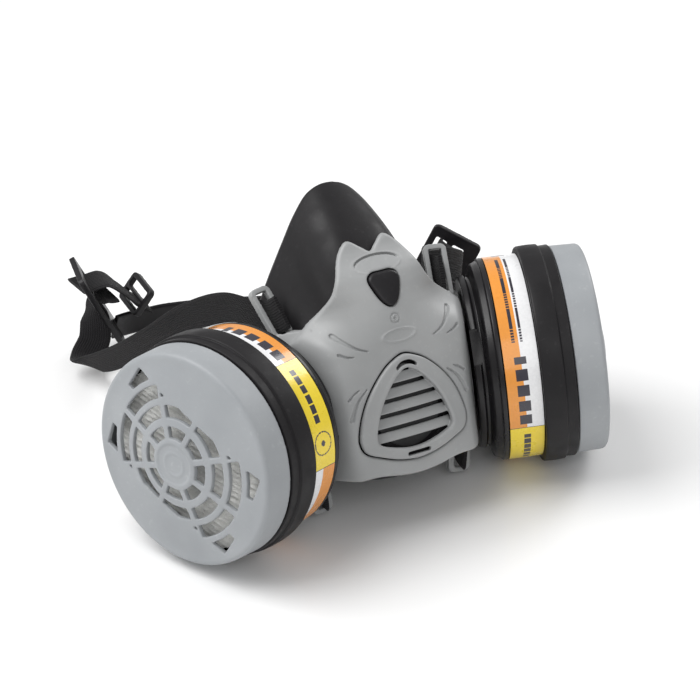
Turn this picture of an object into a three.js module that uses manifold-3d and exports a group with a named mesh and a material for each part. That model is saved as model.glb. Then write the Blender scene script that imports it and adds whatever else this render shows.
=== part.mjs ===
// Reusable half-mask respirator: a black facepiece under a grey front shell, two twin-filter
// cartridges, exhalation valve and the two-strap head harness lying behind the mask.
// Millimetres, +Z up. The mask looks along -Y, its left filter is on the -X side.
import * as THREE from 'three';
import { mergeVertices } from 'three/addons/utils/BufferGeometryUtils.js';
import { ConvexGeometry } from 'three/addons/geometries/ConvexGeometry.js';
import Module from 'manifold-3d';

const wasm = await Module();
wasm.setup();

// ---- driving dimensions -------------------------------------------------------------------
const RING_DIAMETER = 92;                 // black retaining ring, the widest part of a filter
const RING_RADIUS = RING_DIAMETER / 2;
const MASK_TILT = 22;                     // degrees the mask leans back on its chin
const FILTER_SPLAY = 66.5;                // degrees from straight ahead to a filter's axis
const FILTER_RISE = 6.2;                  // degrees that the axis climbs outwards
const FILTER_SPACING = 141.6;             // between the two ring centres
const FILTER_HEIGHT = 45.73;              // ring centre above the surface it stands on
const GAP = 0.35;                         // left between pieces that touch
const ORIGIN_BACK = 64.14;                // box centre behind the ring centres
const STRAP_WIDTH = 14.6;
const STRAP_THICKNESS = 1.6;

// stations along a filter's axis, outwards from the rear face of its ring
const STATION = {
  capFront: 27.2, capRear: 13.9, labelRear: -14.6, baseRear: -20, collarRear: -26,
  shellFace: -27, shellBack: -30, connectorBack: -36.6,
};
const CAP = { radius: 44.5, wall: 2.4, rise: 4.5, hub: 9.3, plate: 2.2, rim: 41.2 };
const WEB = {
  rings: [[10.6, 15.3], [18.6, 23.6], [26.3, 31.6]],
  cells: 8, spoke: 1.25, halfWidth: 21.4, lean: 22,
  end: [34, 38.9], tick: 27.8,
};
const VALVE = { height: 38, seatRadius: 17, boreRadius: 12, flapRadius: 14.5, plane: -36 };

const COLOUR = {
  shell: 0x8f9192, cap: 0x9aa1a6, rubber: 0x232124, plastic: 0x1b1a1c, label: 0xf29a2a,
  web: 0x17161a, media: 0xe9e9e6, carbon: 0x141414, flap: 0x2a2a2c,
};
const SOFT = { roughness: 0.75, metalness: 0 };
const HARD = { roughness: 0.45, metalness: 0 };

// ---- solids: small helpers ----------------------------------------------------------------
function signedVolume(positions, index) {
  let volume = 0;
  const corner = [new THREE.Vector3(), new THREE.Vector3(), new THREE.Vector3()];
  for (let i = 0; i < index.length; i += 3) {
    corner.forEach((v, k) => v.fromArray(positions, index[i + k] * 3));
    volume += corner[0].dot(corner[1].clone().cross(corner[2])) / 6;
  }
  return volume;
}

function solid(geometry) {
  let g = geometry.index ? geometry : geometry.clone();
  g.deleteAttribute('normal');
  g.deleteAttribute('uv');
  g = mergeVertices(g, 1e-4);
  const positions = g.attributes.position.array;
  let index = Array.from(g.index.array);
  if (signedVolume(positions, index) < 0) {
    for (let i = 0; i < index.length; i += 3) {
      [index[i + 1], index[i + 2]] = [index[i + 2], index[i + 1]];
    }
  }
  index = index.filter((_, i) => {
    const t = i - (i % 3);
    return index[t] !== index[t + 1] && index[t + 1] !== index[t + 2] && index[t] !== index[t + 2];
  });
  return new wasm.Manifold(new wasm.Mesh({
    numProp: 3,
    vertProperties: new Float32Array(positions),
    triVerts: new Uint32Array(index),
  }));
}

function geometryOf(body) {
  const mesh = body.getMesh();
  const g = new THREE.BufferGeometry();
  g.setAttribute('position', new THREE.BufferAttribute(new Float32Array(mesh.vertProperties), 3));
  g.setIndex(Array.from(mesh.triVerts));
  g.computeVertexNormals();
  return g;
}

function unite(bodies) {
  return bodies.reduce((a, b) => a.add(b));
}

function cut(body, tools) {
  return tools.reduce((a, b) => a.subtract(b), body);
}

// a body of revolution about Z from [radius, height] corners
function turned(corners, segments = 40) {
  const points = corners.map(([r, z]) => new THREE.Vector2(r, z));
  points.push(points[0].clone());
  const g = new THREE.LatheGeometry(points, segments);
  g.rotateX(Math.PI / 2);
  return solid(g);
}

function tube(inner, outer, low, high, segments = 40) {
  return turned([[inner, low], [outer, low], [outer, high], [inner, high]], segments);
}

function rod(radius, low, high, segments = 32) {
  const g = new THREE.CylinderGeometry(radius, radius, high - low, segments);
  g.rotateX(Math.PI / 2);
  g.translate(0, 0, (low + high) / 2);
  return solid(g);
}

// an outline in the XY plane drawn up from z = low to z = high
function slab(outline, low, high) {
  const shape = new THREE.Shape(outline.map(([x, y]) => new THREE.Vector2(x, y)));
  const g = new THREE.ExtrudeGeometry(shape, { depth: high - low, bevelEnabled: false });
  g.translate(0, 0, low);
  return solid(g);
}

function moved(body, matrix) {
  return body.transform(matrix.elements);
}

function box(center, size) {
  const g = new THREE.BoxGeometry(...size);
  g.translate(...center);
  return solid(g);
}

function hull(points) {
  return solid(new ConvexGeometry(points.map((p) => new THREE.Vector3(...p))));
}

function basis(x, y, z, origin) {
  return new THREE.Matrix4().makeBasis(x, y, z).setPosition(new THREE.Vector3(...origin));
}

// an axis frame: z along `axis`, y as near `up` as it can be
function axisFrame(axis, up, origin) {
  const z = new THREE.Vector3(...axis).normalize();
  const x = new THREE.Vector3(...up).cross(z).normalize();
  return basis(x, z.clone().cross(x), z, origin);
}

// a closed curve through mirrored half-outline points, sampled evenly
function mirroredLoop(half, samples) {
  const left = half.slice(1, -1).reverse().map(([x, ...rest]) => [-x, ...rest]);
  const points = [...half, ...left].map((p) => new THREE.Vector3(p[0], p[1], p[2] ?? 0));
  const curve = new THREE.CatmullRomCurve3(points, true, 'centripetal');
  return Array.from({ length: samples }, (_, i) => curve.getPoint(i / samples));
}

// a sheet between two height fields: y = front(x, z) and y = back(x, z)
function sheet(front, back, xs, zs) {
  const corner = (i, j, side) => (j * xs.length + i) * 2 + side;
  const positions = [];
  zs.forEach((z) => xs.forEach((x) => positions.push(x, front(x, z), z, x, back(x, z), z)));
  const index = [];
  const quad = (a, b, c, d) => index.push(a, b, c, a, c, d);
  for (let j = 0; j + 1 < zs.length; j += 1) {
    for (let i = 0; i + 1 < xs.length; i += 1) {
      quad(corner(i, j, 0), corner(i + 1, j, 0), corner(i + 1, j + 1, 0), corner(i, j + 1, 0));
      quad(corner(i, j, 1), corner(i, j + 1, 1), corner(i + 1, j + 1, 1), corner(i + 1, j, 1));
    }
  }
  const lastX = xs.length - 1;
  const lastZ = zs.length - 1;
  for (let i = 0; i < lastX; i += 1) {
    quad(corner(i, 0, 0), corner(i, 0, 1), corner(i + 1, 0, 1), corner(i + 1, 0, 0));
    quad(corner(i, lastZ, 0), corner(i + 1, lastZ, 0), corner(i + 1, lastZ, 1), corner(i, lastZ, 1));
  }
  for (let j = 0; j < lastZ; j += 1) {
    quad(corner(0, j, 0), corner(0, j + 1, 0), corner(0, j + 1, 1), corner(0, j, 1));
    quad(corner(lastX, j, 0), corner(lastX, j, 1), corner(lastX, j + 1, 1), corner(lastX, j + 1, 0));
  }
  const g = new THREE.BufferGeometry();
  g.setAttribute('position', new THREE.BufferAttribute(new Float32Array(positions), 3));
  g.setIndex(index);
  return solid(g);
}

// flat webbing along hand-placed stations [x, y, z, across x, across y, across z]
function webbing(stations, width, thickness, steps) {
  const middle = new THREE.CatmullRomCurve3(stations.map((s) => new THREE.Vector3(s[0], s[1], s[2])));
  const across = new THREE.CatmullRomCurve3(stations.map((s) => new THREE.Vector3(s[3], s[4], s[5])));
  const positions = [];
  for (let k = 0; k <= steps; k += 1) {
    const t = k / steps;
    const along = middle.getTangent(t);
    const p = middle.getPoint(t);
    const w = across.getPoint(t);
    w.addScaledVector(along, -w.dot(along)).normalize();
    const n = along.clone().cross(w).normalize();
    for (const [a, b] of [[-1, -1], [1, -1], [1, 1], [-1, 1]]) {
      const q = p.clone().addScaledVector(w, (a * width) / 2).addScaledVector(n, (b * thickness) / 2);
      positions.push(q.x, q.y, q.z);
    }
  }
  const index = [];
  for (let k = 0; k < steps; k += 1) {
    for (let c = 0; c < 4; c += 1) {
      const a = 4 * k + c;
      const b = 4 * k + ((c + 1) % 4);
      index.push(a, b, b + 4, a, b + 4, a + 4);
    }
  }
  const end = 4 * steps;
  index.push(0, 2, 1, 0, 3, 2, end, end + 1, end + 2, end, end + 2, end + 3);
  const g = new THREE.BufferGeometry();
  g.setAttribute('position', new THREE.BufferAttribute(new Float32Array(positions), 3));
  g.setIndex(index);
  return solid(g);
}

function smoothTable(rows) {
  return (at) => {
    const last = rows.length - 1;
    if (at <= rows[0][0]) return rows[0][1];
    if (at >= rows[last][0]) return rows[last][1];
    const k = rows.findIndex((r) => r[0] > at) - 1;
    const t = (at - rows[k][0]) / (rows[k + 1][0] - rows[k][0]);
    const before = rows[Math.max(k - 1, 0)][1];
    const after = rows[Math.min(k + 2, last)][1];
    const [a, b] = [rows[k][1], rows[k + 1][1]];
    return 0.5 * (2 * a + (b - before) * t + (2 * before - 5 * a + 4 * b - after) * t * t
      + (3 * a - before - 3 * b + after) * t * t * t);
  };
}

function mesh(name, body, colour, finish, parent) {
  const material = new THREE.MeshStandardMaterial({ color: colour, ...finish });
  const m = new THREE.Mesh(geometryOf(body), material);
  m.name = name;
  parent.add(m);
  return m;
}

// ---- frames -------------------------------------------------------------------------------
const group = new THREE.Group();
group.position.y = -ORIGIN_BACK;
const mask = new THREE.Group();
mask.rotation.x = THREE.MathUtils.degToRad(-MASK_TILT);
group.add(mask);
mask.updateMatrix();
const intoMask = mask.matrix.clone().invert();

const SIDES = [{ name: 'left', sign: -1 }, { name: 'right', sign: 1 }];
for (const side of SIDES) {
  const splay = THREE.MathUtils.degToRad(FILTER_SPLAY);
  const rise = THREE.MathUtils.degToRad(FILTER_RISE);
  const axis = [side.sign * Math.sin(splay) * Math.cos(rise), -Math.cos(splay) * Math.cos(rise), Math.sin(rise)];
  side.frame = axisFrame(axis, [0, 0, 1], [(side.sign * FILTER_SPACING) / 2, 0, FILTER_HEIGHT]);
  side.inMask = intoMask.clone().multiply(side.frame);
}

// ---- front shell surface, in the mask's own upright frame ---------------------------------
const SHELL_THICKNESS = 2.2;
const shellRidge = smoothTable([
  [8, -41.2], [20, -41.5], [32, -41.7], [45, -42.8], [58, -43.4], [70, -42.6], [82, -41],
  [90, -39], [96, -36.3], [103.5, -30.8], [109.5, -28], [116, -25.5],
]);
const shellWrap = smoothTable([[8, 100], [30, 100], [60, 80], [80, 62], [90, 85], [101, 160], [116, 230]]);
const shellFront = (x, z) => shellRidge(z) + (x * x) / shellWrap(z);
const spread = (low, high, steps) => Array.from({ length: steps + 1 }, (_, i) => low + ((high - low) * i) / steps);

// outlines below are drawn in the mask's X and Z and pushed through it along Y
const frontView = basis(
  new THREE.Vector3(1, 0, 0), new THREE.Vector3(0, 0, 1), new THREE.Vector3(0, -1, 0), [0, 0, 0]);
const throughFront = (outline, near = 30, far = 60) => moved(slab(outline, near, far), frontView);

const shellOutline = mirroredLoop([
  [0, 103.6], [3.4, 106], [8.2, 109.2], [12.6, 106], [16, 101], [19, 95], [21.5, 90], [26, 85],
  [33, 79.5], [39.5, 73], [43.5, 66], [43.5, 50], [43, 28], [38, 18.5], [29, 15.4], [18, 15],
  [8, 13.2], [0, 12.6],
], 60).map((p) => [p.x, p.y]);

const valveHalf = [
  [0, 62.1], [5.5, 60.3], [10, 57.4], [16.4, 50.7], [20.9, 43.4], [23.4, 36.4], [24.3, 30.7],
  [22.7, 26.2], [16.4, 22.9], [8.8, 20.2], [0, 18.9],
];
const windowHalf = [
  [0, 56.4], [3.4, 55], [7.9, 50.7], [12.4, 44.4], [15.6, 37.2], [17.2, 30.6], [16.6, 28.4],
  [10, 25.4], [0, 23.7],
];
const scaledLoop = (half, grow, samples) => {
  const k = 1 + grow / 20;
  return mirroredLoop(half, samples).map((p) => [p.x * k, VALVE.height + (p.y - VALVE.height) * k]);
};
const plugHalf = [[0, 95.6], [4.6, 95.3], [6.6, 93.4], [5.6, 88.5], [2.8, 83.3], [0, 81.8]];
const plugLoop = (grow) => mirroredLoop(plugHalf, 20).map((p) => {
  const k = 1 + grow / 6.6;
  return [p.x * k, 89 + (p.y - 89) * k];
});

// a lug: a flat frame with one strap slot
function lug(center, along, facing, size, slot) {
  const frame = axisFrame(facing, along, center);
  const corner = 2.6;
  const outline = [];
  for (const [cx, cy, start] of [[1, 1, 0], [-1, 1, 90], [-1, -1, 180], [1, -1, 270]]) {
    for (const step of [0, 45, 90]) {
      const a = THREE.MathUtils.degToRad(start + step);
      outline.push([
        cx * (size[0] / 2 - corner) + corner * Math.cos(a),
        cy * (size[1] / 2 - corner) + corner * Math.sin(a),
      ]);
    }
  }
  return {
    ring: moved(slab(outline, -size[2] / 2, size[2] / 2), frame),
    hole: moved(box([slot[2], slot[3], 0], [slot[0], slot[1], 40]), frame),
  };
}

const UPPER_LUG = { center: [39, -9.6, 85], along: [0.195, 0.378, 0.905], facing: [0.2, 0.89, -0.41] };
const LOWER_LUG = { center: [33.4, -10.4, 8.6], along: [0.1, -0.12, 0.98], facing: [0.1, 0.99, 0.12] };
const mirrored = (v, sign) => [v[0] * sign, v[1], v[2]];

const SHELL_ARMS = SIDES.map(({ sign }) => {
  const place = (points) => hull(points.map((p) => mirrored(p, sign)));
  const upper = lug(mirrored(UPPER_LUG.center, sign), mirrored(UPPER_LUG.along, sign),
    mirrored(UPPER_LUG.facing, sign), [10, 24.4, 2.8], [5.6, 20, 0, 0]);
  const lower = lug(mirrored(LOWER_LUG.center, sign), mirrored(LOWER_LUG.along, sign),
    mirrored(LOWER_LUG.facing, sign), [10, 18, 2.8], [4.6, 13.8, 0, 0]);
  const wing = place([
    [32, -27, 78.6], [32, -24.4, 78.4], [41, -25, 66], [41, -22.6, 66],
    [35.4, -12, 78], [35.4, -10, 77.4], [42, -12.2, 77.4], [42.6, -11.4, 74.6],
  ]);
  const foot = place([
    [27, -33.6, 18.5], [27, -31.2, 18.5], [36, -28, 20], [36, -25.6, 20],
    [30, -12, 15.6], [30, -9.8, 15.6], [36.6, -11.8, 16.4], [36.6, -9.6, 16.4],
  ]);
  return { solids: [wing, foot, upper.ring, lower.ring], slots: [upper.hole, lower.hole] };
});

function frontShell() {
  const skin = sheet(
    shellFront, (x, z) => shellFront(x, z) + SHELL_THICKNESS,
    spread(-46, 46, 14), spread(8, 116, 16));
  let body = skin.intersect(throughFront(shellOutline, 0, 60));
  const holes = [
    throughFront(scaledLoop(valveHalf, 0.4, 28)),
    throughFront(plugLoop(0.4)),
  ];
  for (const { sign, inMask } of SIDES) {
    body = body.subtract(moved(rod(29, -60, 60, 36), inMask));
    body = body.add(moved(tube(20.4, 31, STATION.shellBack, STATION.shellFace, 36), inMask));
    holes.push(moved(rod(44.5, STATION.shellFace + 0.02, 40, 36), inMask));
  }
  for (const arm of SHELL_ARMS) {
    body = unite([body, ...arm.solids]);
    holes.push(...arm.slots);
  }
  return cut(body, holes);
}

// ---- facepiece: a bowl lofted from its front plate over the cheeks to the sealing edge ----
const PLATE = [
  [0, -36, 76], [7, -36, 75], [13, -36, 70], [17, -36, 62], [20, -36, 52], [20, -36, 42],
  [18, -36, 30], [11, -36, 20], [0, -36, 17],
];
const SHOULDER = [
  [0, -34.5, 107.3], [14, -33, 104], [22.6, -27.4, 92], [29, -26, 77], [39, -28.4, 58], [39.5, -28.8, 42],
  [37.5, -29.6, 24], [24, -32, 9], [0, -33, 5],
];
const EDGE = [
  [0, 0.8, 131.5], [10, 1.6, 122.5], [22, 4, 107], [33.5, 8.6, 90], [43, 15, 68], [47, 19.4, 46],
  [42.5, 21, 27.5], [26, 20.6, 14.2], [0, 19, 10],
];
const FACE_WALL = 2.2;
const LIP_WALL = 1.5;
const FACE_STEPS = 7;
const LIP = [[3.2, 1.2], [4.6, 4.4], [2.4, 9.2]];   // [backwards, inwards] from the sealing edge

function facepieceRows(samples) {
  const loops = [PLATE, SHOULDER, EDGE].map((half) => mirroredLoop(half, samples));
  const rows = [];
  const steps = FACE_STEPS;
  for (let k = 0; k <= steps; k += 1) {
    const t = k / steps;
    rows.push(loops[0].map((p, i) => new THREE.Vector3()
      .addScaledVector(p, (1 - t) ** 2)
      .addScaledVector(loops[1][i], 2 * t * (1 - t))
      .addScaledVector(loops[2][i], t * t)));
  }
  for (const [back, inwards] of LIP) {
    rows.push(loops[2].map((p) => {
      const toCentre = new THREE.Vector3(-p.x, 0, 62 - p.z).normalize();
      return p.clone().addScaledVector(toCentre, inwards).add(new THREE.Vector3(0, back, 0));
    }));
  }
  return rows;
}

function facepieceLoft() {
  const samples = 32;
  const rows = facepieceRows(samples);
  const inner = rows.map((row, k) => row.map((p, i) => {
    const across = row[(i + 1) % samples].clone().sub(row[(i + samples - 1) % samples]);
    const along = rows[Math.min(k + 1, rows.length - 1)][i].clone().sub(rows[Math.max(k - 1, 0)][i]);
    const normal = across.cross(along).normalize();
    return p.clone().addScaledVector(normal, k > FACE_STEPS ? -LIP_WALL : -FACE_WALL);
  }));
  return { rows, inner, samples };
}

function facepieceShell() {
  const { rows, inner, samples } = facepieceLoft();
  const rings = [...rows, ...inner.reverse()];
  const positions = [];
  rings.forEach((row) => row.forEach((p) => positions.push(p.x, p.y, p.z)));
  const index = [];
  for (let k = 0; k + 1 < rings.length; k += 1) {
    for (let i = 0; i < samples; i += 1) {
      const a = k * samples + i;
      const b = k * samples + ((i + 1) % samples);
      index.push(a, b, b + samples, a, b + samples, a + samples);
    }
  }
  const centres = [[0, rings[0]], [rings.length - 1, rings[rings.length - 1]]];
  centres.forEach(([k, row], n) => {
    const centre = positions.length / 3;
    positions.push(0, row[0].y, VALVE.height);
    for (let i = 0; i < samples; i += 1) {
      const a = k * samples + i;
      const b = k * samples + ((i + 1) % samples);
      index.push(...(n === 0 ? [centre, b, a] : [centre, a, b]));
    }
  });
  const g = new THREE.BufferGeometry();
  g.setAttribute('position', new THREE.BufferAttribute(new Float32Array(positions), 3));
  g.setIndex(index);
  return solid(g);
}

// each filter's port through the facepiece: a boss with a bore, recessed behind for the connector
const PORT = { boss: 24.5, bossBack: -39, clearance: 33, bore: 16.8, recess: 21.8, recessFace: -34.6 };
const valveFrame = axisFrame([0, -1, 0], [0, 0, 1], [0, 0, VALVE.height]);

function facepiece() {
  let body = facepieceShell();
  const holes = [moved(rod(VALVE.seatRadius + GAP, 20, 60, 32), valveFrame)];
  for (const { inMask } of SIDES) {
    body = body.add(moved(rod(PORT.boss, PORT.bossBack, STATION.shellBack + 1, 26), inMask));
    holes.push(moved(rod(PORT.clearance, STATION.shellBack - GAP, 20, 28), inMask));
    holes.push(moved(rod(PORT.bore, -48, 20, 24), inMask));
    holes.push(moved(rod(PORT.recess, -60, PORT.recessFace, 24), inMask));
  }
  return cut(body, holes);
}

// ---- exhalation valve ---------------------------------------------------------------------
const LOUVRES = [51.4, 45.6, 39.8, 34, 28.2];

function valveCover() {
  const proud = 1;
  const plate = sheet((x, z) => shellFront(x, z) - proud, (x, z) => shellFront(x, z) + 1.2,
    spread(-27, 27, 8), spread(16, 66, 8));
  const opening = throughFront(scaledLoop(windowHalf, 0, 24), 20, 70);
  const skirt = throughFront(scaledLoop(windowHalf, 1.8, 24), 39.9, 42).subtract(opening);
  let body = plate.intersect(throughFront(scaledLoop(valveHalf, 0, 28))).subtract(opening).add(skirt);
  const inside = throughFront(scaledLoop(windowHalf, 1, 16), 30, 60);
  for (const z of LOUVRES) {
    const front = shellRidge(z) + 0.4;
    const blade = hull([-22, 22].flatMap((x) => [
      [x, front, z], [x, front + 0.9, z - 0.3], [x, front + 2.6, z + 3.6], [x, front + 1.7, z + 3.9],
    ]));
    body = body.add(blade.intersect(inside));
  }
  const slots = [
    throughFront([[-5.4, 58.2], [0, 59.6], [5.4, 58.2], [5.4, 59.9], [0, 61], [-5.4, 59.9]]),
    throughFront([[-5.2, 20.9], [5.2, 20.9], [5.2, 22.4], [-5.2, 22.4]]),
  ];
  return cut(body, slots);
}

function valveSeat() {
  const ring = tube(VALVE.boreRadius, VALVE.seatRadius, 33.4, 36.3, 28);
  const flange = tube(VALVE.boreRadius, 19.2, 31.6, 33.4, 28);
  const bars = [0, 60, 120].map((angle) => {
    const bar = box([0, 0, 33.4], [2 * VALVE.boreRadius + 2, 2, 2]);
    return moved(bar, new THREE.Matrix4().makeRotationZ(THREE.MathUtils.degToRad(angle)));
  });
  return moved(unite([ring, flange, rod(3, 32.4, 34.4, 16), ...bars]), valveFrame);
}

function shellPlug() {
  const skin = sheet((x, z) => shellFront(x, z) - 0.9, (x, z) => shellFront(x, z) + 1.9,
    spread(-8, 8, 4), spread(80, 98, 6));
  return skin.intersect(throughFront(plugLoop(0)));
}

// ---- filter cartridges --------------------------------------------------------------------
// the cap's face climbs from its flat rim to its hub
const domeAt = (r) => STATION.capFront + CAP.rise * (1 - (r - CAP.hub) / (CAP.rim - 2 - CAP.hub));

// one cell of the grille: a ring sector between two spokes, kept inside the web's long strip
function webCell([inner, outer], middle, halfAngle, arcSteps = 2) {
  const point = (r, a) => [r * Math.cos(a), r * Math.sin(a)];
  const edge = (r) => spread(-1, 1, arcSteps).map((t) => {
    const half = halfAngle - WEB.spoke / r;
    return point(r, middle + t * half);
  });
  return [...edge(inner), ...edge(outer).reverse()];
}

function capWindows(turn) {
  const step = (2 * Math.PI) / WEB.cells;
  const cells = [];
  WEB.rings.forEach((ring, k) => {
    for (let i = 0; i < WEB.cells; i += 1) {
      const middle = (i + 0.5) * step;
      if (k < 2 || Math.abs(Math.sin(middle)) < 0.5) {
        cells.push(slab(webCell(ring, middle, step / 2, k > 1 ? 2 : 1), 0, 40));
      }
    }
  });
  const strip = box([0, 0, 20], [100, 2 * WEB.halfWidth, 60]);
  for (const sign of [-1, 1]) {
    for (const side of [-1, 1]) {
      const middle = (sign > 0 ? 0 : Math.PI) + sign * side * THREE.MathUtils.degToRad(28);
      cells.push(slab(webCell(WEB.end, middle, 0.17, 1), 0, 40));
      const [x, y] = [sign * Math.sqrt(WEB.tick ** 2 - 20.4 ** 2), side * 20.4];
      cells.push(slab([[x - 1.6, y], [x + 1.6, y], [x, y - side * 1.5]], 0, 40));
    }
  }
  const rotation = new THREE.Matrix4().makeRotationZ(turn);
  return cells.map((cell) => moved(cell.intersect(strip), rotation));
}

function filterCap(sign) {
  const { capFront, capRear } = STATION;
  const { radius, wall, hub, plate, rim } = CAP;
  const body = turned([
    [0, domeAt(hub) - plate], [hub, domeAt(hub) - plate], [rim - 2, capFront - plate],
    [radius - wall, capFront - 3.4], [radius - wall, capRear + GAP], [radius, capRear + GAP],
    [radius - 0.5, capFront - 2], [radius - 2.2, capFront], [rim - 2, capFront], [hub, domeAt(hub)],
    [0, domeAt(hub)],
  ], 28);
  return cut(body, capWindows(THREE.MathUtils.degToRad(sign * WEB.lean)));
}

function retainerRing() {
  return turned([
    [39.6, 0], [RING_RADIUS, 0], [RING_RADIUS, 8.4], [RING_RADIUS - 0.7, 9],
    [RING_RADIUS - 0.7, STATION.capRear], [41.4, STATION.capRear],
    [41.4, 9], [39.6, 9],
  ], 32);
}

function filterBase() {
  const { labelRear, baseRear, collarRear } = STATION;
  return turned([
    [20.4, collarRear], [36.5, collarRear], [37.4, baseRear - 1], [41.6, baseRear], [42.4, labelRear - GAP],
    [14.2, labelRear - GAP], [14.2, baseRear + 2], [20.4, baseRear + 2],
  ], 32);
}

function connector() {
  const { shellFace, connectorBack } = STATION;
  const body = tube(13.6, 16.4, connectorBack + 1.6, -20, 24);
  const flange = tube(13.6, 21.4, connectorBack, connectorBack + 1.6, 24);
  const seat = tube(11.6, 14, -33.6, -32, 24);
  const bars = [0, 90].map((a) => moved(box([0, 0, -32.8], [26, 2, 1.6]),
    new THREE.Matrix4().makeRotationZ(THREE.MathUtils.degToRad(a + 45))));
  const lugs = [0, 120, 240].map((a) => moved(box([17.4, 0, -23.5], [3.6, 9, 2]),
    new THREE.Matrix4().makeRotationZ(THREE.MathUtils.degToRad(a))));
  const shoulder = tube(15.6, 19.6, shellFace - 2.6, shellFace + 0.6, 24);
  return unite([body, flange, seat, shoulder, ...bars, ...lugs]);
}

function buildFilter(side) {
  const holder = new THREE.Group();
  holder.applyMatrix4(side.frame);
  group.add(holder);
  const { labelRear } = STATION;
  const place = (name, body, colour, finish) => mesh(`${name}_${side.name}`, body, colour, finish, holder);
  place('filter_cap', filterCap(side.sign), COLOUR.cap, HARD);
  place('pleated_pad', rod(38.6, 9.4, 23, 28), COLOUR.media, SOFT);
  place('retainer_ring', retainerRing(), COLOUR.plastic, HARD);
  place('label_band', tube(42.75, 43.3, labelRear, -GAP, 32), COLOUR.label, HARD);
  place('canister_body', tube(40.4, 42.4, labelRear, -GAP, 32), COLOUR.plastic, HARD);
  place('carbon_bed', rod(40, labelRear + GAP, -GAP, 32), COLOUR.carbon, SOFT);
  place('filter_base', filterBase(), COLOUR.plastic, HARD);
  place('inhalation_connector', connector(), COLOUR.plastic, HARD);
  place('inhalation_flap', rod(12.9, -34.6, -33.9, 28), COLOUR.flap, SOFT);
}

// ---- head harness, lying behind the mask ---------------------------------------------------
const HEAD_STRAP_LEFT = [
  [-37.2, 16.6, 86.3, -0.2, 0.69, 0.7], [-38.6, 22.2, 81.7, -0.2, 0.69, 0.7],
  [-41.4, 32, 78.6, -0.26, 0.6, 0.75], [-46, 47, 76, -0.34, 0.4, 0.85], [-53, 68, 64, -0.55, 0.3, 0.76],
  [-61, 93, 43, -0.85, 0.2, 0.45], [-69, 118, 23, -0.9, 0.3, 0.2], [-76, 138, 12, -0.6, 0.7, 0.1],
  [-79, 152, 14, -0.1, 0.95, 0.1], [-74, 158, 25, 0.1, 1, 0], [-62, 160, 30, 0.17, 0.98, 0.08],
  [-54, 161, 28, 0.17, 0.98, 0.08],
];
const HEAD_STRAP_RIGHT = [
  [37.2, 16.6, 86.3, 0.2, 0.69, 0.7], [38.6, 22.2, 81.7, 0.2, 0.69, 0.7],
  [41.4, 32, 79, 0.26, 0.6, 0.75], [47, 46, 77, 0.3, 0.3, 0.9], [56, 59, 73, 0.2, 0.15, 0.97],
  [66, 73, 66, 0.15, 0, 0.98], [74, 85.5, 58, 0.32, -0.25, 0.91], [79.8, 94.2, 55.1, 0.32, -0.25, 0.91],
  [83.4, 98.6, 54.4, 0.32, -0.25, 0.91],
];
const STRAP_TAIL_LEFT = [
  [-71.5, 159, 39.4, 0.17, 0.98, 0.08], [-66.8, 160, 39, 0.17, 0.98, 0.08], [-57, 162, 38, 0.12, 0.99, 0.05],
  [-48, 165, 29.4, 0.05, 1, 0], [-40.3, 168.2, 20.4, 0, 0.99, 0.1], [-34, 169, 15.4, 0, 0.99, 0.1],
];
const CRADLE_BAND = [
  [-54, 160, 13, 0.2, 0, 1], [-42, 167, 9, 0, 0, 1], [-24, 168, 8, 0, 0, 1], [0, 161, 8, 0, 0, 1],
  [26, 148, 10, 0, 0, 1], [50, 128, 17, 0.15, 0.1, 0.98], [68, 108, 30, 0.4, 0.2, 0.9],
  [78, 94, 42, 0.5, 0.2, 0.84],
];
const LEFT_PLATE = {
  center: [-60.5, 160, 26], along: [0.177, 0.981, 0.085], facing: [-0.883, 0.196, -0.427],
  size: [48, 24, 2.6], slots: [[14.5, 0], [4.4, 0]],
};
const RIGHT_PLATE = {
  center: [82.5, 91.5, 49], along: [0.32, -0.25, 0.914], facing: [0.66, 0.74, -0.03],
  size: [24, 36, 2.6], slots: [[6, 4], [-2.5, 4]],
};

function endPlate({ center, along, facing, size, slots }) {
  const cuts = slots.map(([x, y]) => lug(center, along, facing, size, [5.6, 17, x, y]).hole);
  return { ring: lug(center, along, facing, size, [1, 1, 0, 0]).ring, holes: cuts };
}

function headCradle() {
  const band = webbing(CRADLE_BAND, 12, 2.2, 22);
  const left = endPlate(LEFT_PLATE);
  const right = endPlate(RIGHT_PLATE);
  return cut(unite([band, left.ring, right.ring]), [...left.holes, ...right.holes]);
}

function slider(center, along, facing) {
  const size = [15, 20, 3];
  const slots = [-2.9, 2.9].map((x) => lug(center, along, facing, size, [4.4, 15.8, x, 0]).hole);
  return cut(lug(center, along, facing, size, [1, 1, 0, 0]).ring, slots);
}

const NECK_STRAP = [
  [33, -13, 12.2, 0.1, 0.26, 0.96], [33.7, -6.4, 11.9, 0.1, 0.26, 0.96], [37, 3, 10.4, 0.05, 0.1, 1],
  [42, 12, 8, 0, 0, 1], [47.5, 25, 7.2, 0, 0, 1], [49.5, 45, 7.2, 0, 0, 1], [44, 68, 7.2, 0, 0, 1],
  [28, 83, 7.2, 0, 0, 1], [16.5, 87, 7.2, 0, 0, 1],
];

function neckStrap(sign) {
  return webbing(NECK_STRAP.map(([x, y, z, a, b, c]) => [sign * x, y, z, sign * a, b, c]), 12, STRAP_THICKNESS, 24);
}

function buckleSocket() {
  const shellBlock = box([-7.6, 88, 7.4], [15.6, 6.4, 14]);
  const mouth = box([-2, 88, 7.4], [13, 4, 10]);
  return shellBlock.subtract(mouth);
}

function buckleTongue() {
  const block = box([11.4, 88, 7.4], [9, 6, 13.6]);
  const blade = box([3, 88, 7.4], [10, 3, 9]);
  return block.add(blade);
}

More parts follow.
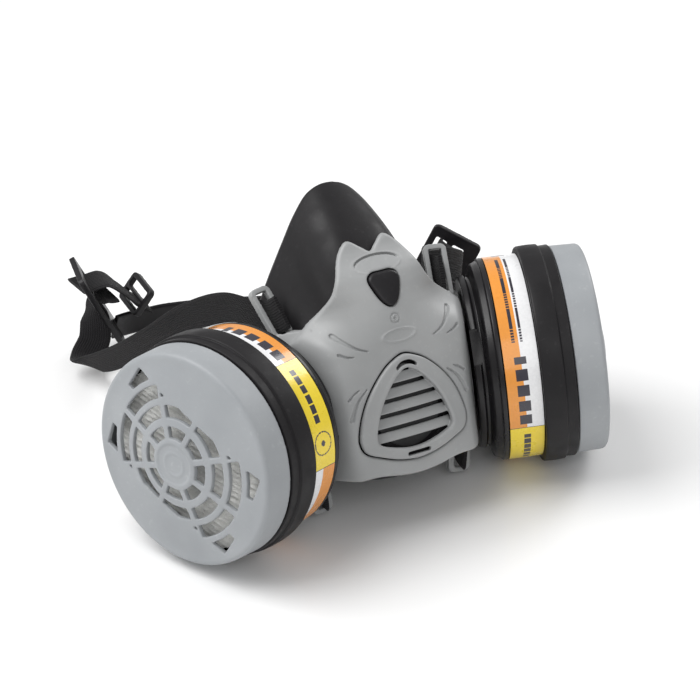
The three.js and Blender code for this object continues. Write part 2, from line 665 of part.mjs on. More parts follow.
// ---- assembly -----------------------------------------------------------------------------
mesh('front_shell', frontShell(), COLOUR.shell, HARD, mask);
mesh('face_seal', facepiece(), COLOUR.rubber, SOFT, mask);
mesh('shell_plug', shellPlug(), COLOUR.plastic, HARD, mask);
mesh('valve_cover', valveCover(), COLOUR.shell, HARD, mask);
mesh('exhalation_seat', valveSeat(), COLOUR.plastic, HARD, mask);
mesh('exhalation_flap', moved(rod(VALVE.flapRadius, 36.7, 37.4, 28), valveFrame), COLOUR.flap, SOFT, mask);

SIDES.forEach(buildFilter);

mesh('head_strap_left', webbing(HEAD_STRAP_LEFT, STRAP_WIDTH, STRAP_THICKNESS, 30), COLOUR.web, SOFT, group);
mesh('head_strap_right', webbing(HEAD_STRAP_RIGHT, STRAP_WIDTH, STRAP_THICKNESS, 22), COLOUR.web, SOFT, group);
mesh('head_cradle', headCradle(), COLOUR.plastic, HARD, group);
mesh('strap_tail_left', webbing(STRAP_TAIL_LEFT, STRAP_WIDTH, STRAP_THICKNESS, 10), COLOUR.web, SOFT, group);
mesh('strap_slider_left', slider([-38.6, 168.2, 22.4], [0, 0.99, 0.1], [0.8, 0.05, -0.6]), COLOUR.plastic, HARD, group);
mesh('neck_strap_left', neckStrap(-1), COLOUR.web, SOFT, group);
mesh('neck_strap_right', neckStrap(1), COLOUR.web, SOFT, group);
mesh('neck_buckle_socket', buckleSocket(), COLOUR.plastic, HARD, group);
mesh('neck_buckle_tongue', buckleTongue(), COLOUR.plastic, HARD, group);

export default group;
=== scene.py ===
"""Looks for a reusable half-mask respirator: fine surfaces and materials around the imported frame.

Shapes are worked out in millimetres. The mask's pieces use its own upright frame, which leans back
on the chin; each filter's pieces use a frame with Z along its axis; the harness uses the row frame.
"""
import math

import bmesh
import bpy
import numpy as np
from mathutils import Matrix, Vector


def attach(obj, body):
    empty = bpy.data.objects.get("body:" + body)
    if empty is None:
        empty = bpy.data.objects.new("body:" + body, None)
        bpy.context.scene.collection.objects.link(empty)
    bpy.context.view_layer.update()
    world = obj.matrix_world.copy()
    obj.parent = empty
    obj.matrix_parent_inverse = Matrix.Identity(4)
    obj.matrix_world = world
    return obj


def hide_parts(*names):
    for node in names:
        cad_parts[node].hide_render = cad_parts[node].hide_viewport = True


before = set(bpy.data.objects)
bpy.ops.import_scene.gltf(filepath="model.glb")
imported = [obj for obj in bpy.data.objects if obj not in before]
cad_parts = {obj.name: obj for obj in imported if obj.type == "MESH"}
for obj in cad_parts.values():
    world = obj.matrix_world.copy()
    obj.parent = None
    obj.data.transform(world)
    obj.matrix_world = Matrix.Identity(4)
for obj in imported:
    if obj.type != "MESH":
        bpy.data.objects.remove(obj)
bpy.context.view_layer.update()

# ---- driving dimensions, as in the frame ----
MM = 0.001
MASK_TILT = 22
FILTER_SPLAY = 66.5
FILTER_RISE = 6.2
FILTER_SPACING = 141.6
FILTER_HEIGHT = 45.73
ORIGIN_BACK = 64.14
RING_RADIUS = 46
STRAP_WIDTH = 14.6
STRAP_THICKNESS = 1.6
VALVE_HEIGHT = 38
SHELL_THICKNESS = 2.2
CAP_FRONT = 27.2
CAP_REAR = 13.9
LABEL_REAR = -14.6
BASE_REAR = -20
COLLAR_REAR = -26
SHELL_FACE = -27
SHELL_BACK = -30
PORT_HOLE = 29
PORT_INNER = 20.4
PORT_OUTER = 31
FILTER_CLEARANCE = 44.5
BOSS_RADIUS = 24.5
BOSS_REAR = -39
BOSS_CLEARANCE = 33
AIR_BORE = 16.8
RECESS_RADIUS = 21.8
RECESS_FACE = -34.6
GAP = 0.35

ROW = Matrix.Translation((0, -ORIGIN_BACK, 0))
MASK = ROW @ Matrix.Rotation(math.radians(-MASK_TILT), 4, "X")


def axis_frame(axis, up, origin):
    """z along axis, y as near up as it can be."""
    z = Vector(axis).normalized()
    x = Vector(up).cross(z).normalized()
    y = z.cross(x)
    turn = Matrix((x, y, z)).transposed().to_4x4()
    return Matrix.Translation(origin) @ turn


def filter_frame(sign):
    splay = math.radians(FILTER_SPLAY)
    rise = math.radians(FILTER_RISE)
    axis = (sign * math.sin(splay) * math.cos(rise), -math.cos(splay) * math.cos(rise), math.sin(rise))
    return axis_frame(axis, (0, 0, 1), (sign * FILTER_SPACING / 2, -ORIGIN_BACK, FILTER_HEIGHT))


SIDES = {"left": -1, "right": 1}
FILTERS = {name: filter_frame(sign) for name, sign in SIDES.items()}
IN_MASK = {name: MASK.inverted() @ place for name, place in FILTERS.items()}
VALVE = MASK @ axis_frame((0, -1, 0), (0, 0, 1), (0, 0, VALVE_HEIGHT))

# ---- camera ----
camera = bpy.data.objects.new("camera", bpy.data.cameras.new("camera"))
camera.data.lens = 110.3
camera.data.sensor_width = 36
camera.data.clip_end = 50
camera.location = (-0.3708, -0.7245, 0.5031)
camera.rotation_euler = (math.radians(90 - 29.94), 0, math.radians(-28.3))
bpy.context.scene.collection.objects.link(camera)
bpy.context.scene.camera = camera


# ---- mesh helpers ----
def placed(points, place):
    m = np.array(place)
    return np.asarray(points, float) @ m[:3, :3].T + m[:3, 3]


def closed_mesh(name, points, faces, place=ROW):
    """An object from millimetre points; its faces are turned outwards."""
    mesh = bpy.data.meshes.new(name)
    mesh.from_pydata((placed(points, place) * MM).tolist(), [], faces)
    bm = bmesh.new()
    bm.from_mesh(mesh)
    bmesh.ops.remove_doubles(bm, verts=bm.verts, dist=1e-7)
    bmesh.ops.recalc_face_normals(bm, faces=bm.faces)
    bm.to_mesh(mesh)
    bm.free()
    obj = bpy.data.objects.new(name, mesh)
    bpy.context.scene.collection.objects.link(obj)
    return obj


def drop(obj):
    mesh = obj.data
    bpy.data.objects.remove(obj)
    bpy.data.meshes.remove(mesh)


def bake(obj):
    """Applies every modifier."""
    depsgraph = bpy.context.evaluated_depsgraph_get()
    mesh = bpy.data.meshes.new_from_object(obj.evaluated_get(depsgraph))
    old = obj.data
    obj.modifiers.clear()
    obj.data = mesh
    bpy.data.meshes.remove(old)


def emboss(obj, front, relief, reach=0.6):
    """Raises the vertices of a moulding's front face by a relief given over the mask's X and Z."""
    count = len(obj.data.vertices)
    flat = np.empty(count * 3)
    obj.data.vertices.foreach_get("co", flat)
    local = placed(flat.reshape(-1, 3) / MM, MASK.inverted())
    x, y, z = local.T
    near = 1 - soft_step(np.abs(y - front(x, z)), reach * 0.5, reach)
    local[:, 1] -= near * relief(x, z)
    obj.data.vertices.foreach_set("co", (placed(local, MASK) * MM).ravel())
    obj.data.update()


def combine(obj, tools, operation="DIFFERENCE"):
    for tool in tools:
        modifier = obj.modifiers.new("join", "BOOLEAN")
        modifier.solver = "MANIFOLD"
        modifier.operation = operation
        modifier.object = tool
    bake(obj)
    for tool in tools:
        drop(tool)
    return obj


def smooth(obj, angle=None):
    obj.data.polygons.foreach_set("use_smooth", [True] * len(obj.data.polygons))
    if angle is not None:
        obj.data.set_sharp_from_angle(angle=math.radians(angle))
    return obj


def moulded(obj, voxel, rounds):
    """One even skin with softened edges, as a moulding has."""
    skin = obj.modifiers.new("skin", "REMESH")
    skin.mode = "VOXEL"
    skin.voxel_size = voxel * MM
    soften = obj.modifiers.new("soften", "SMOOTH")
    soften.factor = 0.5
    soften.iterations = rounds
    bake(obj)
    return smooth(obj)


def loop_curve(points, samples, closed=True):
    """A centripetal Catmull-Rom curve through the points."""
    pts = np.asarray(points, float)
    count = len(pts) if closed else len(pts) - 1
    out = []
    for step in range(samples if closed else samples + 1):
        place = count * step / samples
        i = min(int(place), count - 1)
        t = place - i
        p1 = pts[i]
        p2 = pts[(i + 1) % len(pts)]
        p0 = pts[i - 1] if closed or i > 0 else 2 * pts[0] - pts[1]
        p3 = pts[(i + 2) % len(pts)] if closed or i + 2 < len(pts) else 2 * pts[-1] - pts[-2]
        d0, d1, d2 = (max(np.linalg.norm(b - a) ** 0.5, 1e-4) for a, b in ((p0, p1), (p1, p2), (p2, p3)))
        t1 = ((p1 - p0) / d0 - (p2 - p0) / (d0 + d1) + (p2 - p1) / d1) * d1
        t2 = ((p2 - p1) / d1 - (p3 - p1) / (d1 + d2) + (p3 - p2) / d2) * d1
        c2 = -3 * p1 + 3 * p2 - 2 * t1 - t2
        c3 = 2 * p1 - 2 * p2 + t1 + t2
        out.append(p1 + t1 * t + c2 * t * t + c3 * t ** 3)
    return np.array(out)


def mirrored_loop(half, samples):
    half = np.asarray(half, float)
    left = half[1:-1][::-1] * np.array([-1] + [1] * (half.shape[1] - 1))
    return loop_curve(np.vstack([half, left]), samples)


def smooth_table(rows):
    """Catmull-Rom through (position, value) rows, for whole arrays."""
    at = np.array([r[0] for r in rows], float)
    value = np.array([r[1] for r in rows], float)

    def read(x):
        x = np.clip(np.asarray(x, float), at[0], at[-1])
        k = np.clip(np.searchsorted(at, x, side="right") - 1, 0, len(at) - 2)
        t = (x - at[k]) / (at[k + 1] - at[k])
        a, b = value[k], value[k + 1]
        before, after = value[np.maximum(k - 1, 0)], value[np.minimum(k + 2, len(at) - 1)]
        return 0.5 * (2 * a + (b - before) * t + (2 * before - 5 * a + 4 * b - after) * t ** 2
                      + (3 * a - before - 3 * b + after) * t ** 3)
    return read


def grid_faces(rows, columns, wrap=False, start=0):
    """Quads over a grid of rows x columns points; wrap joins the last column to the first."""
    faces = []
    last = columns if wrap else columns - 1
    for j in range(rows - 1):
        for i in range(last):
            a = start + j * columns + i
            b = start + j * columns + (i + 1) % columns
            faces.append((a, b, b + columns, a + columns))
    return faces


def sheet(name, front, back, xs, zs, place=MASK):
    """A closed sheet between two height fields over the mask's X and Z."""
    gx, gz = np.meshgrid(xs, zs)
    nx, nz = len(xs), len(zs)
    face = np.stack([gx, front(gx, gz), gz], -1).reshape(-1, 3)
    rear = np.stack([gx, back(gx, gz), gz], -1).reshape(-1, 3)
    faces = grid_faces(nz, nx) + grid_faces(nz, nx, start=nx * nz)
    rim = list(range(nx)) + [j * nx + nx - 1 for j in range(1, nz)]
    rim += [(nz - 1) * nx + i for i in range(nx - 2, -1, -1)] + [j * nx for j in range(nz - 2, 0, -1)]
    for a, b in zip(rim, rim[1:] + rim[:1]):
        faces.append((a, b, b + nx * nz, a + nx * nz))
    return closed_mesh(name, np.vstack([face, rear]), faces, place)


def prism(name, outline, low, high, place):
    """An outline in a frame's XY plane drawn along its Z."""
    n = len(outline)
    points = [(x, y, low) for x, y in outline] + [(x, y, high) for x, y in outline]
    faces = [tuple(range(n))[::-1], tuple(range(n, 2 * n))]
    faces += [(i, (i + 1) % n, n + (i + 1) % n, n + i) for i in range(n)]
    return closed_mesh(name, points, faces, place)


FRONT_VIEW = MASK @ Matrix(((1, 0, 0, 0), (0, 0, -1, 0), (0, 1, 0, 0), (0, 0, 0, 1)))


def through_front(outline, near=30, far=60):
    return prism("tool", outline, near, far, FRONT_VIEW)


def lathe(name, profile, segments, place):
    """A closed [radius, height] loop turned about Z."""
    angles = np.arange(segments) * 2 * math.pi / segments
    points = [(r * math.cos(a), r * math.sin(a), z) for r, z in profile for a in angles]
    faces = grid_faces(len(profile), segments, wrap=True)
    last = (len(profile) - 1) * segments
    faces += [(last + i, last + (i + 1) % segments, (i + 1) % segments, i) for i in range(segments)]
    obj = closed_mesh(name, points, faces, place)
    bm = bmesh.new()
    bm.from_mesh(obj.data)
    bmesh.ops.dissolve_degenerate(bm, edges=bm.edges, dist=1e-8)
    bm.to_mesh(obj.data)
    bm.free()
    return obj


def rod(name, radius, low, high, segments, place):
    return prism(name, arc_points(radius, segments), low, high, place)


def arc_points(radius, segments):
    return [(radius * math.cos(a), radius * math.sin(a))
            for a in np.arange(segments) * 2 * math.pi / segments]


def filleted(corners, steps=4):
    """A closed loop of (r, z, radius) corners with each corner rounded to its radius."""
    pts = [np.array(c[:2], float) for c in corners]
    out = []
    for i, corner in enumerate(corners):
        radius = corner[2] if len(corner) > 2 else 0
        here = pts[i]
        if radius <= 0:
            out.append(tuple(here))
            continue
        back, ahead = pts[i - 1] - here, pts[(i + 1) % len(pts)] - here
        reach = min(radius, 0.45 * np.linalg.norm(back), 0.45 * np.linalg.norm(ahead))
        start = here + back / np.linalg.norm(back) * reach
        end = here + ahead / np.linalg.norm(ahead) * reach
        for k in range(steps + 1):
            t = k / steps
            point = start * (1 - t) ** 2 + here * 2 * t * (1 - t) + end * t * t
            out.append((max(point[0], 0), point[1]))
    return out


def tube(name, inner, outer, low, high, segments, place, round_off=0.3):
    loop = [(r, z, round_off) for r, z in ((inner, low), (outer, low), (outer, high), (inner, high))]
    return lathe(name, filleted(loop), segments, place)


def block(name, center, size, place, turn=0):
    outline = [(sx * size[0] / 2, sy * size[1] / 2) for sx, sy in ((-1, -1), (1, -1), (1, 1), (-1, 1))]
    local = Matrix.Rotation(math.radians(turn), 4, "Z") @ Matrix.Translation(center)
    return prism(name, outline, -size[2] / 2, size[2] / 2, place @ local)


def hull(name, points, place=MASK):
    bm = bmesh.new()
    for p in placed(points, place) * MM:
        bm.verts.new(p)
    result = bmesh.ops.convex_hull(bm, input=bm.verts)
    loose = [v for v in result["geom_interior"] if isinstance(v, bmesh.types.BMVert)]
    bmesh.ops.delete(bm, geom=loose, context="VERTS")
    bmesh.ops.recalc_face_normals(bm, faces=bm.faces)
    mesh = bpy.data.meshes.new(name)
    bm.to_mesh(mesh)
    bm.free()
    obj = bpy.data.objects.new(name, mesh)
    bpy.context.scene.collection.objects.link(obj)
    return obj


def outline_distance(x, z, outline):
    """Signed distance to a closed outline, positive inside."""
    p = np.stack([x, z], -1).reshape(-1, 1, 2)
    a = np.asarray(outline)[None]
    b = np.roll(a, -1, axis=1)
    ab = b - a
    t = np.clip(((p - a) * ab).sum(-1) / (ab * ab).sum(-1), 0, 1)
    near = np.linalg.norm(p - a - t[..., None] * ab, axis=-1).min(1)
    crosses = (a[..., 1] > p[..., 1]) != (b[..., 1] > p[..., 1])
    slope = (p[..., 1] - a[..., 1]) / np.where(ab[..., 1] == 0, 1e-9, ab[..., 1])
    inside = ((p[..., 0] < a[..., 0] + slope * ab[..., 0]) & crosses).sum(1) % 2 == 1
    return np.where(inside, near, -near).reshape(np.shape(x))


def rounding(distance, radius):
    """How far a rounded edge falls at this distance in from the edge."""
    d = np.clip(distance, 0, radius)
    return radius - np.sqrt(radius ** 2 - (radius - d) ** 2)


def soft_step(x, low, high):
    t = np.clip((x - low) / (high - low), 0, 1)
    return t * t * (3 - 2 * t)


# ---- materials ----
class Shader:
    """A node material with a Principled surface."""

    def __init__(self, name, **sockets):
        self.material = bpy.data.materials.new(name)
        self.material.use_nodes = True
        self.tree = self.material.node_tree
        self.surface = self.tree.nodes["Principled BSDF"]
        self.coords = self.tree.nodes.new("ShaderNodeTexCoord").outputs["Object"]
        for socket, value in sockets.items():
            self.surface.inputs[socket.replace("_", " ")].default_value = value

    def node(self, kind, **settings):
        made = self.tree.nodes.new(kind)
        for key, value in settings.items():
            if hasattr(made, key):
                setattr(made, key, value)
            else:
                made.inputs[key.replace("_", " ")].default_value = value
        return made

    def link(self, output, target):
        self.tree.links.new(output, target)

    def noise(self, scale, detail=4, coords=None, stretch=None):
        """Noise whose scale is in features for each metre."""
        coords = coords or self.coords
        if stretch:
            mapping = self.node("ShaderNodeMapping")
            mapping.inputs["Scale"].default_value = stretch
            self.link(coords, mapping.inputs["Vector"])
            coords = mapping.outputs["Vector"]
        texture = self.node("ShaderNodeTexNoise", Scale=scale, Detail=detail)
        self.link(coords, texture.inputs["Vector"])
        return texture.outputs["Fac"]

    def ramp(self, fac, stops):
        made = self.node("ShaderNodeValToRGB")
        elements = made.color_ramp.elements
        while len(elements) < len(stops):
            elements.new(0.5)
        for element, (position, colour) in zip(elements, stops):
            element.position = position
            element.color = colour if len(colour) == 4 else (*colour, 1)
        self.link(fac, made.inputs["Fac"])
        return made.outputs["Color"]

    def remap(self, fac, low, high, source=(0.35, 0.65)):
        made = self.node("ShaderNodeMapRange")
        made.inputs["From Min"].default_value = source[0]
        made.inputs["From Max"].default_value = source[1]
        made.inputs["To Min"].default_value = low
        made.inputs["To Max"].default_value = high
        self.link(fac, made.inputs["Value"])
        return made.outputs["Result"]

    def mix(self, fac, first, second):
        made = self.node("ShaderNodeMix", data_type="RGBA")
        self.link(fac, made.inputs[0])
        for value, socket in ((first, made.inputs[6]), (second, made.inputs[7])):
            if isinstance(value, tuple):
                socket.default_value = (*value, 1)
            else:
                self.link(value, socket)
        return made.outputs[2]

    def math(self, operation, first, second=None):
        made = self.node("ShaderNodeMath", operation=operation)
        for value, socket in ((first, made.inputs[0]), (second, made.inputs[1])):
            if isinstance(value, (int, float)):
                socket.default_value = value
            elif value is not None:
                self.link(value, socket)
        return made.outputs[0]

    def bump(self, height, distance, strength=1.0, after=None):
        made = self.node("ShaderNodeBump", Distance=distance * MM, Strength=strength)
        self.link(height, made.inputs["Height"])
        if after is not None:
            self.link(after, made.inputs["Normal"])
        return made.outputs["Normal"]

    def finish(self, colour=None, roughness=None, normal=None):
        for value, socket in ((colour, "Base Color"), (roughness, "Roughness"), (normal, "Normal")):
            if value is not None:
                self.link(value, self.surface.inputs[socket])
        return self.material


def moulding_material(name, dark, light, rough, grain=0.03, grain_scale=2600, worn=None, **sockets):
    """Moulded plastic or rubber: cloudy tone, fine spark-eroded grain, rubbed patches."""
    s = Shader(name, **sockets)
    clouds = s.noise(38, 5)
    colour = s.ramp(clouds, [(0.3, dark), (0.72, light)])
    fine = s.noise(grain_scale, 3)
    if worn:
        rubbed = s.math("MULTIPLY", s.remap(s.noise(520, 6), 0, 1, (0.6, 0.72)), s.remap(clouds, 0, 1))
        colour = s.mix(rubbed, colour, worn)
    roughness = s.remap(s.noise(90, 6), rough[0], rough[1])
    streaks = s.noise(60, 3, stretch=(1, 1, 9))
    normal = s.bump(fine, grain, 0.8)
    normal = s.bump(streaks, 0.05, 0.3, normal)
    return s.finish(colour, roughness, normal)


def webbing_material(name, tone):
    """Woven elastic webbing: ribs along the band and picks across it, from its own band coordinates; the
    colour carries painted shade, darker in the weave's low points, with fuzz noise giving uneven tone.
    """
    s = Shader(name, Sheen_Weight=0.06, Sheen_Roughness=0.5, Specular_IOR_Level=0.25)
    band = s.node("ShaderNodeAttribute", attribute_name="band").outputs["Vector"]
    split = s.node("ShaderNodeSeparateXYZ")
    s.link(band, split.inputs[0])
    rib = s.math("SINE", s.math("MULTIPLY", split.outputs["X"], 2 * math.pi / 1.05))
    pick = s.math("SINE", s.math("MULTIPLY", split.outputs["Y"], 2 * math.pi / 0.85))
    crossing = s.math("MULTIPLY", s.math("MULTIPLY", rib, pick), 0.7)
    weave = s.math("ADD", s.math("MULTIPLY", rib, 0.6), crossing)
    fuzz = s.noise(2400, 5)
    height = s.math("ADD", weave, s.math("MULTIPLY", fuzz, 0.9))
    # Painted shade: the weave's low points darken to a third of the yarn tone, standing in for the shadow
    # between ribs and picks.
    painted_weave_shade = tuple(c * 0.35 for c in tone)
    colour = s.ramp(s.remap(height, 0, 1, (-1.0, 1.8)), [(0.2, painted_weave_shade), (0.85, tone)])
    return s.finish(colour, s.remap(fuzz, 0.72, 0.95), s.bump(height, 0.16, 0.9))


def print_material(name, tone):
    """A printed stretch of a glossy film label."""
    s = Shader(name, Coat_Weight=0.6, Coat_Roughness=0.12)
    colour = s.ramp(s.noise(900, 4), [(0.3, tuple(c * 0.93 for c in tone)), (0.7, tone)])
    return s.finish(colour, s.remap(s.noise(140, 4), 0.22, 0.38), s.bump(s.noise(160, 2), 0.04, 0.4))


def granule_material():
    s = Shader("carbon_granules")
    cells = s.node("ShaderNodeTexVoronoi", Scale=900)
    s.link(s.coords, cells.inputs["Vector"])
    colour = s.ramp(cells.outputs["Distance"], [(0.1, (0.03, 0.03, 0.03)), (0.8, (0.006, 0.006, 0.006))])
    return s.finish(colour, s.remap(s.noise(700), 0.4, 0.8), s.bump(cells.outputs["Distance"], 0.5, 1))


def media_material():
    s = Shader("pleated_media")
    fibres = s.noise(1500, 6, stretch=(1, 1, 3))
    colour = s.ramp(fibres, [(0.3, (0.74, 0.74, 0.72)), (0.7, (0.93, 0.93, 0.91))])
    return s.finish(colour, s.remap(fibres, 0.75, 0.95), s.bump(fibres, 0.12, 0.8))


MATERIALS = {
    "shell_grey": moulding_material("grey_moulding", (0.285, 0.291, 0.293), (0.338, 0.344, 0.346),
                                    (0.34, 0.5), grain=0.035, worn=(0.36, 0.365, 0.365)),
    "cap_grey": moulding_material("cap_moulding", (0.285, 0.3, 0.315), (0.33, 0.345, 0.36), (0.42, 0.55),
                                  grain=0.04, worn=(0.37, 0.385, 0.395)),
    "black_elastomer": moulding_material("black_rubber", (0.0065, 0.0057, 0.0067), (0.0105, 0.0095, 0.0108),
                                         (0.42, 0.58), grain=0.05, worn=(0.022, 0.02, 0.022),
                                         Specular_IOR_Level=0.28),
    "black_plastic": moulding_material("black_moulding", (0.0065, 0.0058, 0.007), (0.0105, 0.0095, 0.0112),
                                       (0.32, 0.46), grain=0.03, worn=(0.017, 0.0155, 0.018),
                                       Specular_IOR_Level=0.32),
    "gloss_black": moulding_material("black_gloss", (0.006, 0.0055, 0.0065), (0.01, 0.009, 0.0105),
                                     (0.24, 0.38), grain=0.012, Specular_IOR_Level=0.38),
    "webbing_black": webbing_material("black_webbing", (0.014, 0.013, 0.0148)),
    "white_media": media_material(),
    "carbon": granule_material(),
    "flap_rubber": moulding_material("flap_rubber", (0.02, 0.02, 0.021), (0.035, 0.035, 0.036), (0.45, 0.6)),
}
LABEL_MATERIALS = [print_material(name, tone) for name, tone in (
    ("label_white", (0.83, 0.83, 0.84)), ("label_orange", (0.8, 0.3, 0.035)),
    ("label_yellow", (0.9, 0.68, 0.02)), ("label_ink", (0.02, 0.017, 0.03)),
    ("label_edge", (0.55, 0.32, 0.12)))]


def dress(obj, body, slot, nodes, material=None):
    if material is not False:
        obj.data.materials.clear()
        obj.data.materials.append(MATERIALS[material or slot])
    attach(obj, body)
    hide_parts(*nodes)
    return obj


# ---- front shell ----
shell_ridge = smooth_table([
    (8, -41.2), (20, -41.5), (32, -41.7), (45, -42.8), (58, -43.4), (70, -42.6), (82, -41),
    (90, -39), (96, -36.3), (103.5, -30.8), (109.5, -28), (116, -25.5)])
shell_wrap = smooth_table([(8, 100), (30, 100), (60, 80), (80, 62), (90, 85), (101, 160), (116, 230)])
SHELL_HALF = [
    (0, 103.6), (3.4, 106), (8.2, 109.2), (12.6, 106), (16, 101), (19, 95), (21.5, 90), (26, 85),
    (33, 79.5), (39.5, 73), (43.5, 66), (43.5, 50), (43, 28), (38, 18.5), (29, 15.4), (18, 15),
    (8, 13.2), (0, 12.6)]
VALVE_HALF = [
    (0, 62.1), (5.5, 60.3), (10, 57.4), (16.4, 50.7), (20.9, 43.4), (23.4, 36.4), (24.3, 30.7),
    (22.7, 26.2), (16.4, 22.9), (8.8, 20.2), (0, 18.9)]
WINDOW_HALF = [
    (0, 56.4), (3.4, 55), (7.9, 50.7), (12.4, 44.4), (15.6, 37.2), (17.2, 30.6), (16.6, 28.4),
    (10, 25.4), (0, 23.7)]
PLUG_HALF = [(0, 95.6), (4.6, 95.3), (6.6, 93.4), (5.6, 88.5), (2.8, 83.3), (0, 81.8)]


FACE_CURVE = 390000
FLANK_LAG = 0.4
FLANK_FILLET = 9


def shell_crown(x, z):
    """Nearly flat across the valve, wrapping back beside the nose."""
    nose = soft_step(z, 66, 86)
    return shell_ridge(z) + (1 - nose) * x ** 4 / FACE_CURVE + nose * x * x / shell_wrap(z)


def shell_flank(x, z):
    """The flat wall that faces each filter, just behind the port's own face."""
    port = IN_MASK["right"]
    axis, origin = port.col[2], port.col[3]
    lead = SHELL_FACE - FLANK_LAG - axis[0] * (np.abs(x) - origin[0]) - axis[2] * (z - origin[2])
    return origin[1] + lead / axis[1]


def deeper(first, second):
    """The deeper of two surfaces, with a fillet where they meet."""
    near = np.maximum(FLANK_FILLET - np.abs(first - second), 0) / FLANK_FILLET
    return np.maximum(first, second) + near ** 2 * FLANK_FILLET / 4


def shell_front(x, z):
    return deeper(shell_crown(x, z), shell_flank(x, z))


def shell_back(x, z):
    return deeper(shell_crown(x, z) + SHELL_THICKNESS, shell_flank(x, z) + 2.5 * SHELL_THICKNESS)


def grown(half, grow, samples, centre, half_width):
    k = 1 + grow / half_width
    loop = mirrored_loop(half, samples)
    return np.column_stack([loop[:, 0] * k, centre + (loop[:, 1] - centre) * k])


def valve_outline(grow, samples=120, half=VALVE_HALF):
    return grown(half, grow, samples, VALVE_HEIGHT, 20)


def plug_outline(grow, samples=60):
    return grown(PLUG_HALF, grow, samples, 89, 6.6)


def groove(x, z, stroke, depth):
    """A carved stroke: points of (x, z, half width), mirrored on both cheeks."""
    line = loop_curve(stroke, 40, closed=False)
    carved = np.zeros(np.shape(x))
    for px, pz, half in line:
        away = np.hypot(np.abs(x) - px, z - pz) / half
        carved = np.maximum(carved, 1 - soft_step(away, 0.55, 1.15))
    return -depth * carved


CHEEK_GROOVES = [
    [(15.2, 66.6, 0.3), (19.5, 68.6, 0.5), (23.6, 72, 0.8), (26.4, 75, 1.05)],
    [(21.6, 65.6, 0.28), (24.6, 66.4, 0.42), (27.2, 67.8, 0.6)],
    [(18.5, 51.7, 0.3), (22.2, 48.4, 0.5), (24.8, 44.4, 0.75), (26.4, 40.6, 1.0)],
    [(22, 52.1, 0.28), (24.4, 50.8, 0.4), (26.6, 49, 0.5)],
]


def shell_relief(x, z):
    """Raised and sunk detail on the shell, positive outwards."""
    up = np.zeros(np.shape(x))
    for stroke in CHEEK_GROOVES:
        up += groove(x, z, stroke, 0.95)
    badge = np.hypot(x / 9.8, (z - 99.1) / 3.4)
    plaque = np.hypot(x / 9.7, (z - 98.35) / 3.3)
    up -= 1.2 * (1 - soft_step(badge, 0.97, 1.03)) * soft_step(plaque, 0.98, 1.04)
    up -= 0.2 * (1 - soft_step(plaque, 0.96, 1.02))
    up += 0.22 * np.exp(-((badge - 1.1) / 0.07) ** 2)
    pad = np.hypot(x / 7.5, (z - 70) / 2.5)
    up += 0.4 * np.exp(-((pad - 0.98) / 0.1) ** 2)
    pip = np.hypot(x, z - 76.8)
    up -= 0.5 * (1 - soft_step(pip, 1.9, 2.4))
    up += 0.7 * np.exp(-((pip - 1.15) / 0.4) ** 2)
    mark = outline_distance(np.abs(x), z, [(33.2, 45.2), (35.2, 44), (33.2, 42.9)])
    up += 0.3 * soft_step(mark, -0.2, 0.3)
    return up


def lug_tools(center, along, facing, size, slot_size, sign, corner=2.6):
    """A flat frame with one strap slot: (ring, hole)."""
    flip = np.array([sign, 1, 1])
    place = MASK @ axis_frame(np.array(facing) * flip, np.array(along) * flip, np.array(center) * flip)
    return rounded_plate(size, corner, place), block("tool", (0, 0, 0), (*slot_size, 40), place)


def rounded_plate(size, corner, place, centre=(0, 0)):
    outline = []
    for cx, cy, start in ((1, 1, 0), (-1, 1, 90), (-1, -1, 180), (1, -1, 270)):
        for step in range(0, 91, 15):
            a = math.radians(start + step)
            outline.append((centre[0] + cx * (size[0] / 2 - corner) + corner * math.cos(a),
                            centre[1] + cy * (size[1] / 2 - corner) + corner * math.sin(a)))
    return prism("plate", outline, -size[2] / 2, size[2] / 2, place)


UPPER_LUG = ((39, -9.6, 85), (0.195, 0.378, 0.905), (0.2, 0.89, -0.41), (10, 24.4, 2.8), (5.6, 20))
LOWER_LUG = ((33.4, -10.4, 8.6), (0.1, -0.12, 0.98), (0.1, 0.99, 0.12), (10, 18, 2.8), (4.6, 13.8))
WING = [(32, -30.2, 78.6), (32, -26.6, 78.4), (41, -25, 66), (41, -22.6, 66),
        (35.4, -12, 78), (35.4, -10, 77.4), (42, -12.2, 77.4), (42.6, -11.4, 74.6)]
FOOT = [(27, -39, 18.5), (27, -36.2, 18.5), (36, -28, 20), (36, -25.6, 20),
        (30, -12, 15.6), (30, -9.8, 15.6), (36.6, -11.8, 16.4), (36.6, -9.6, 16.4)]


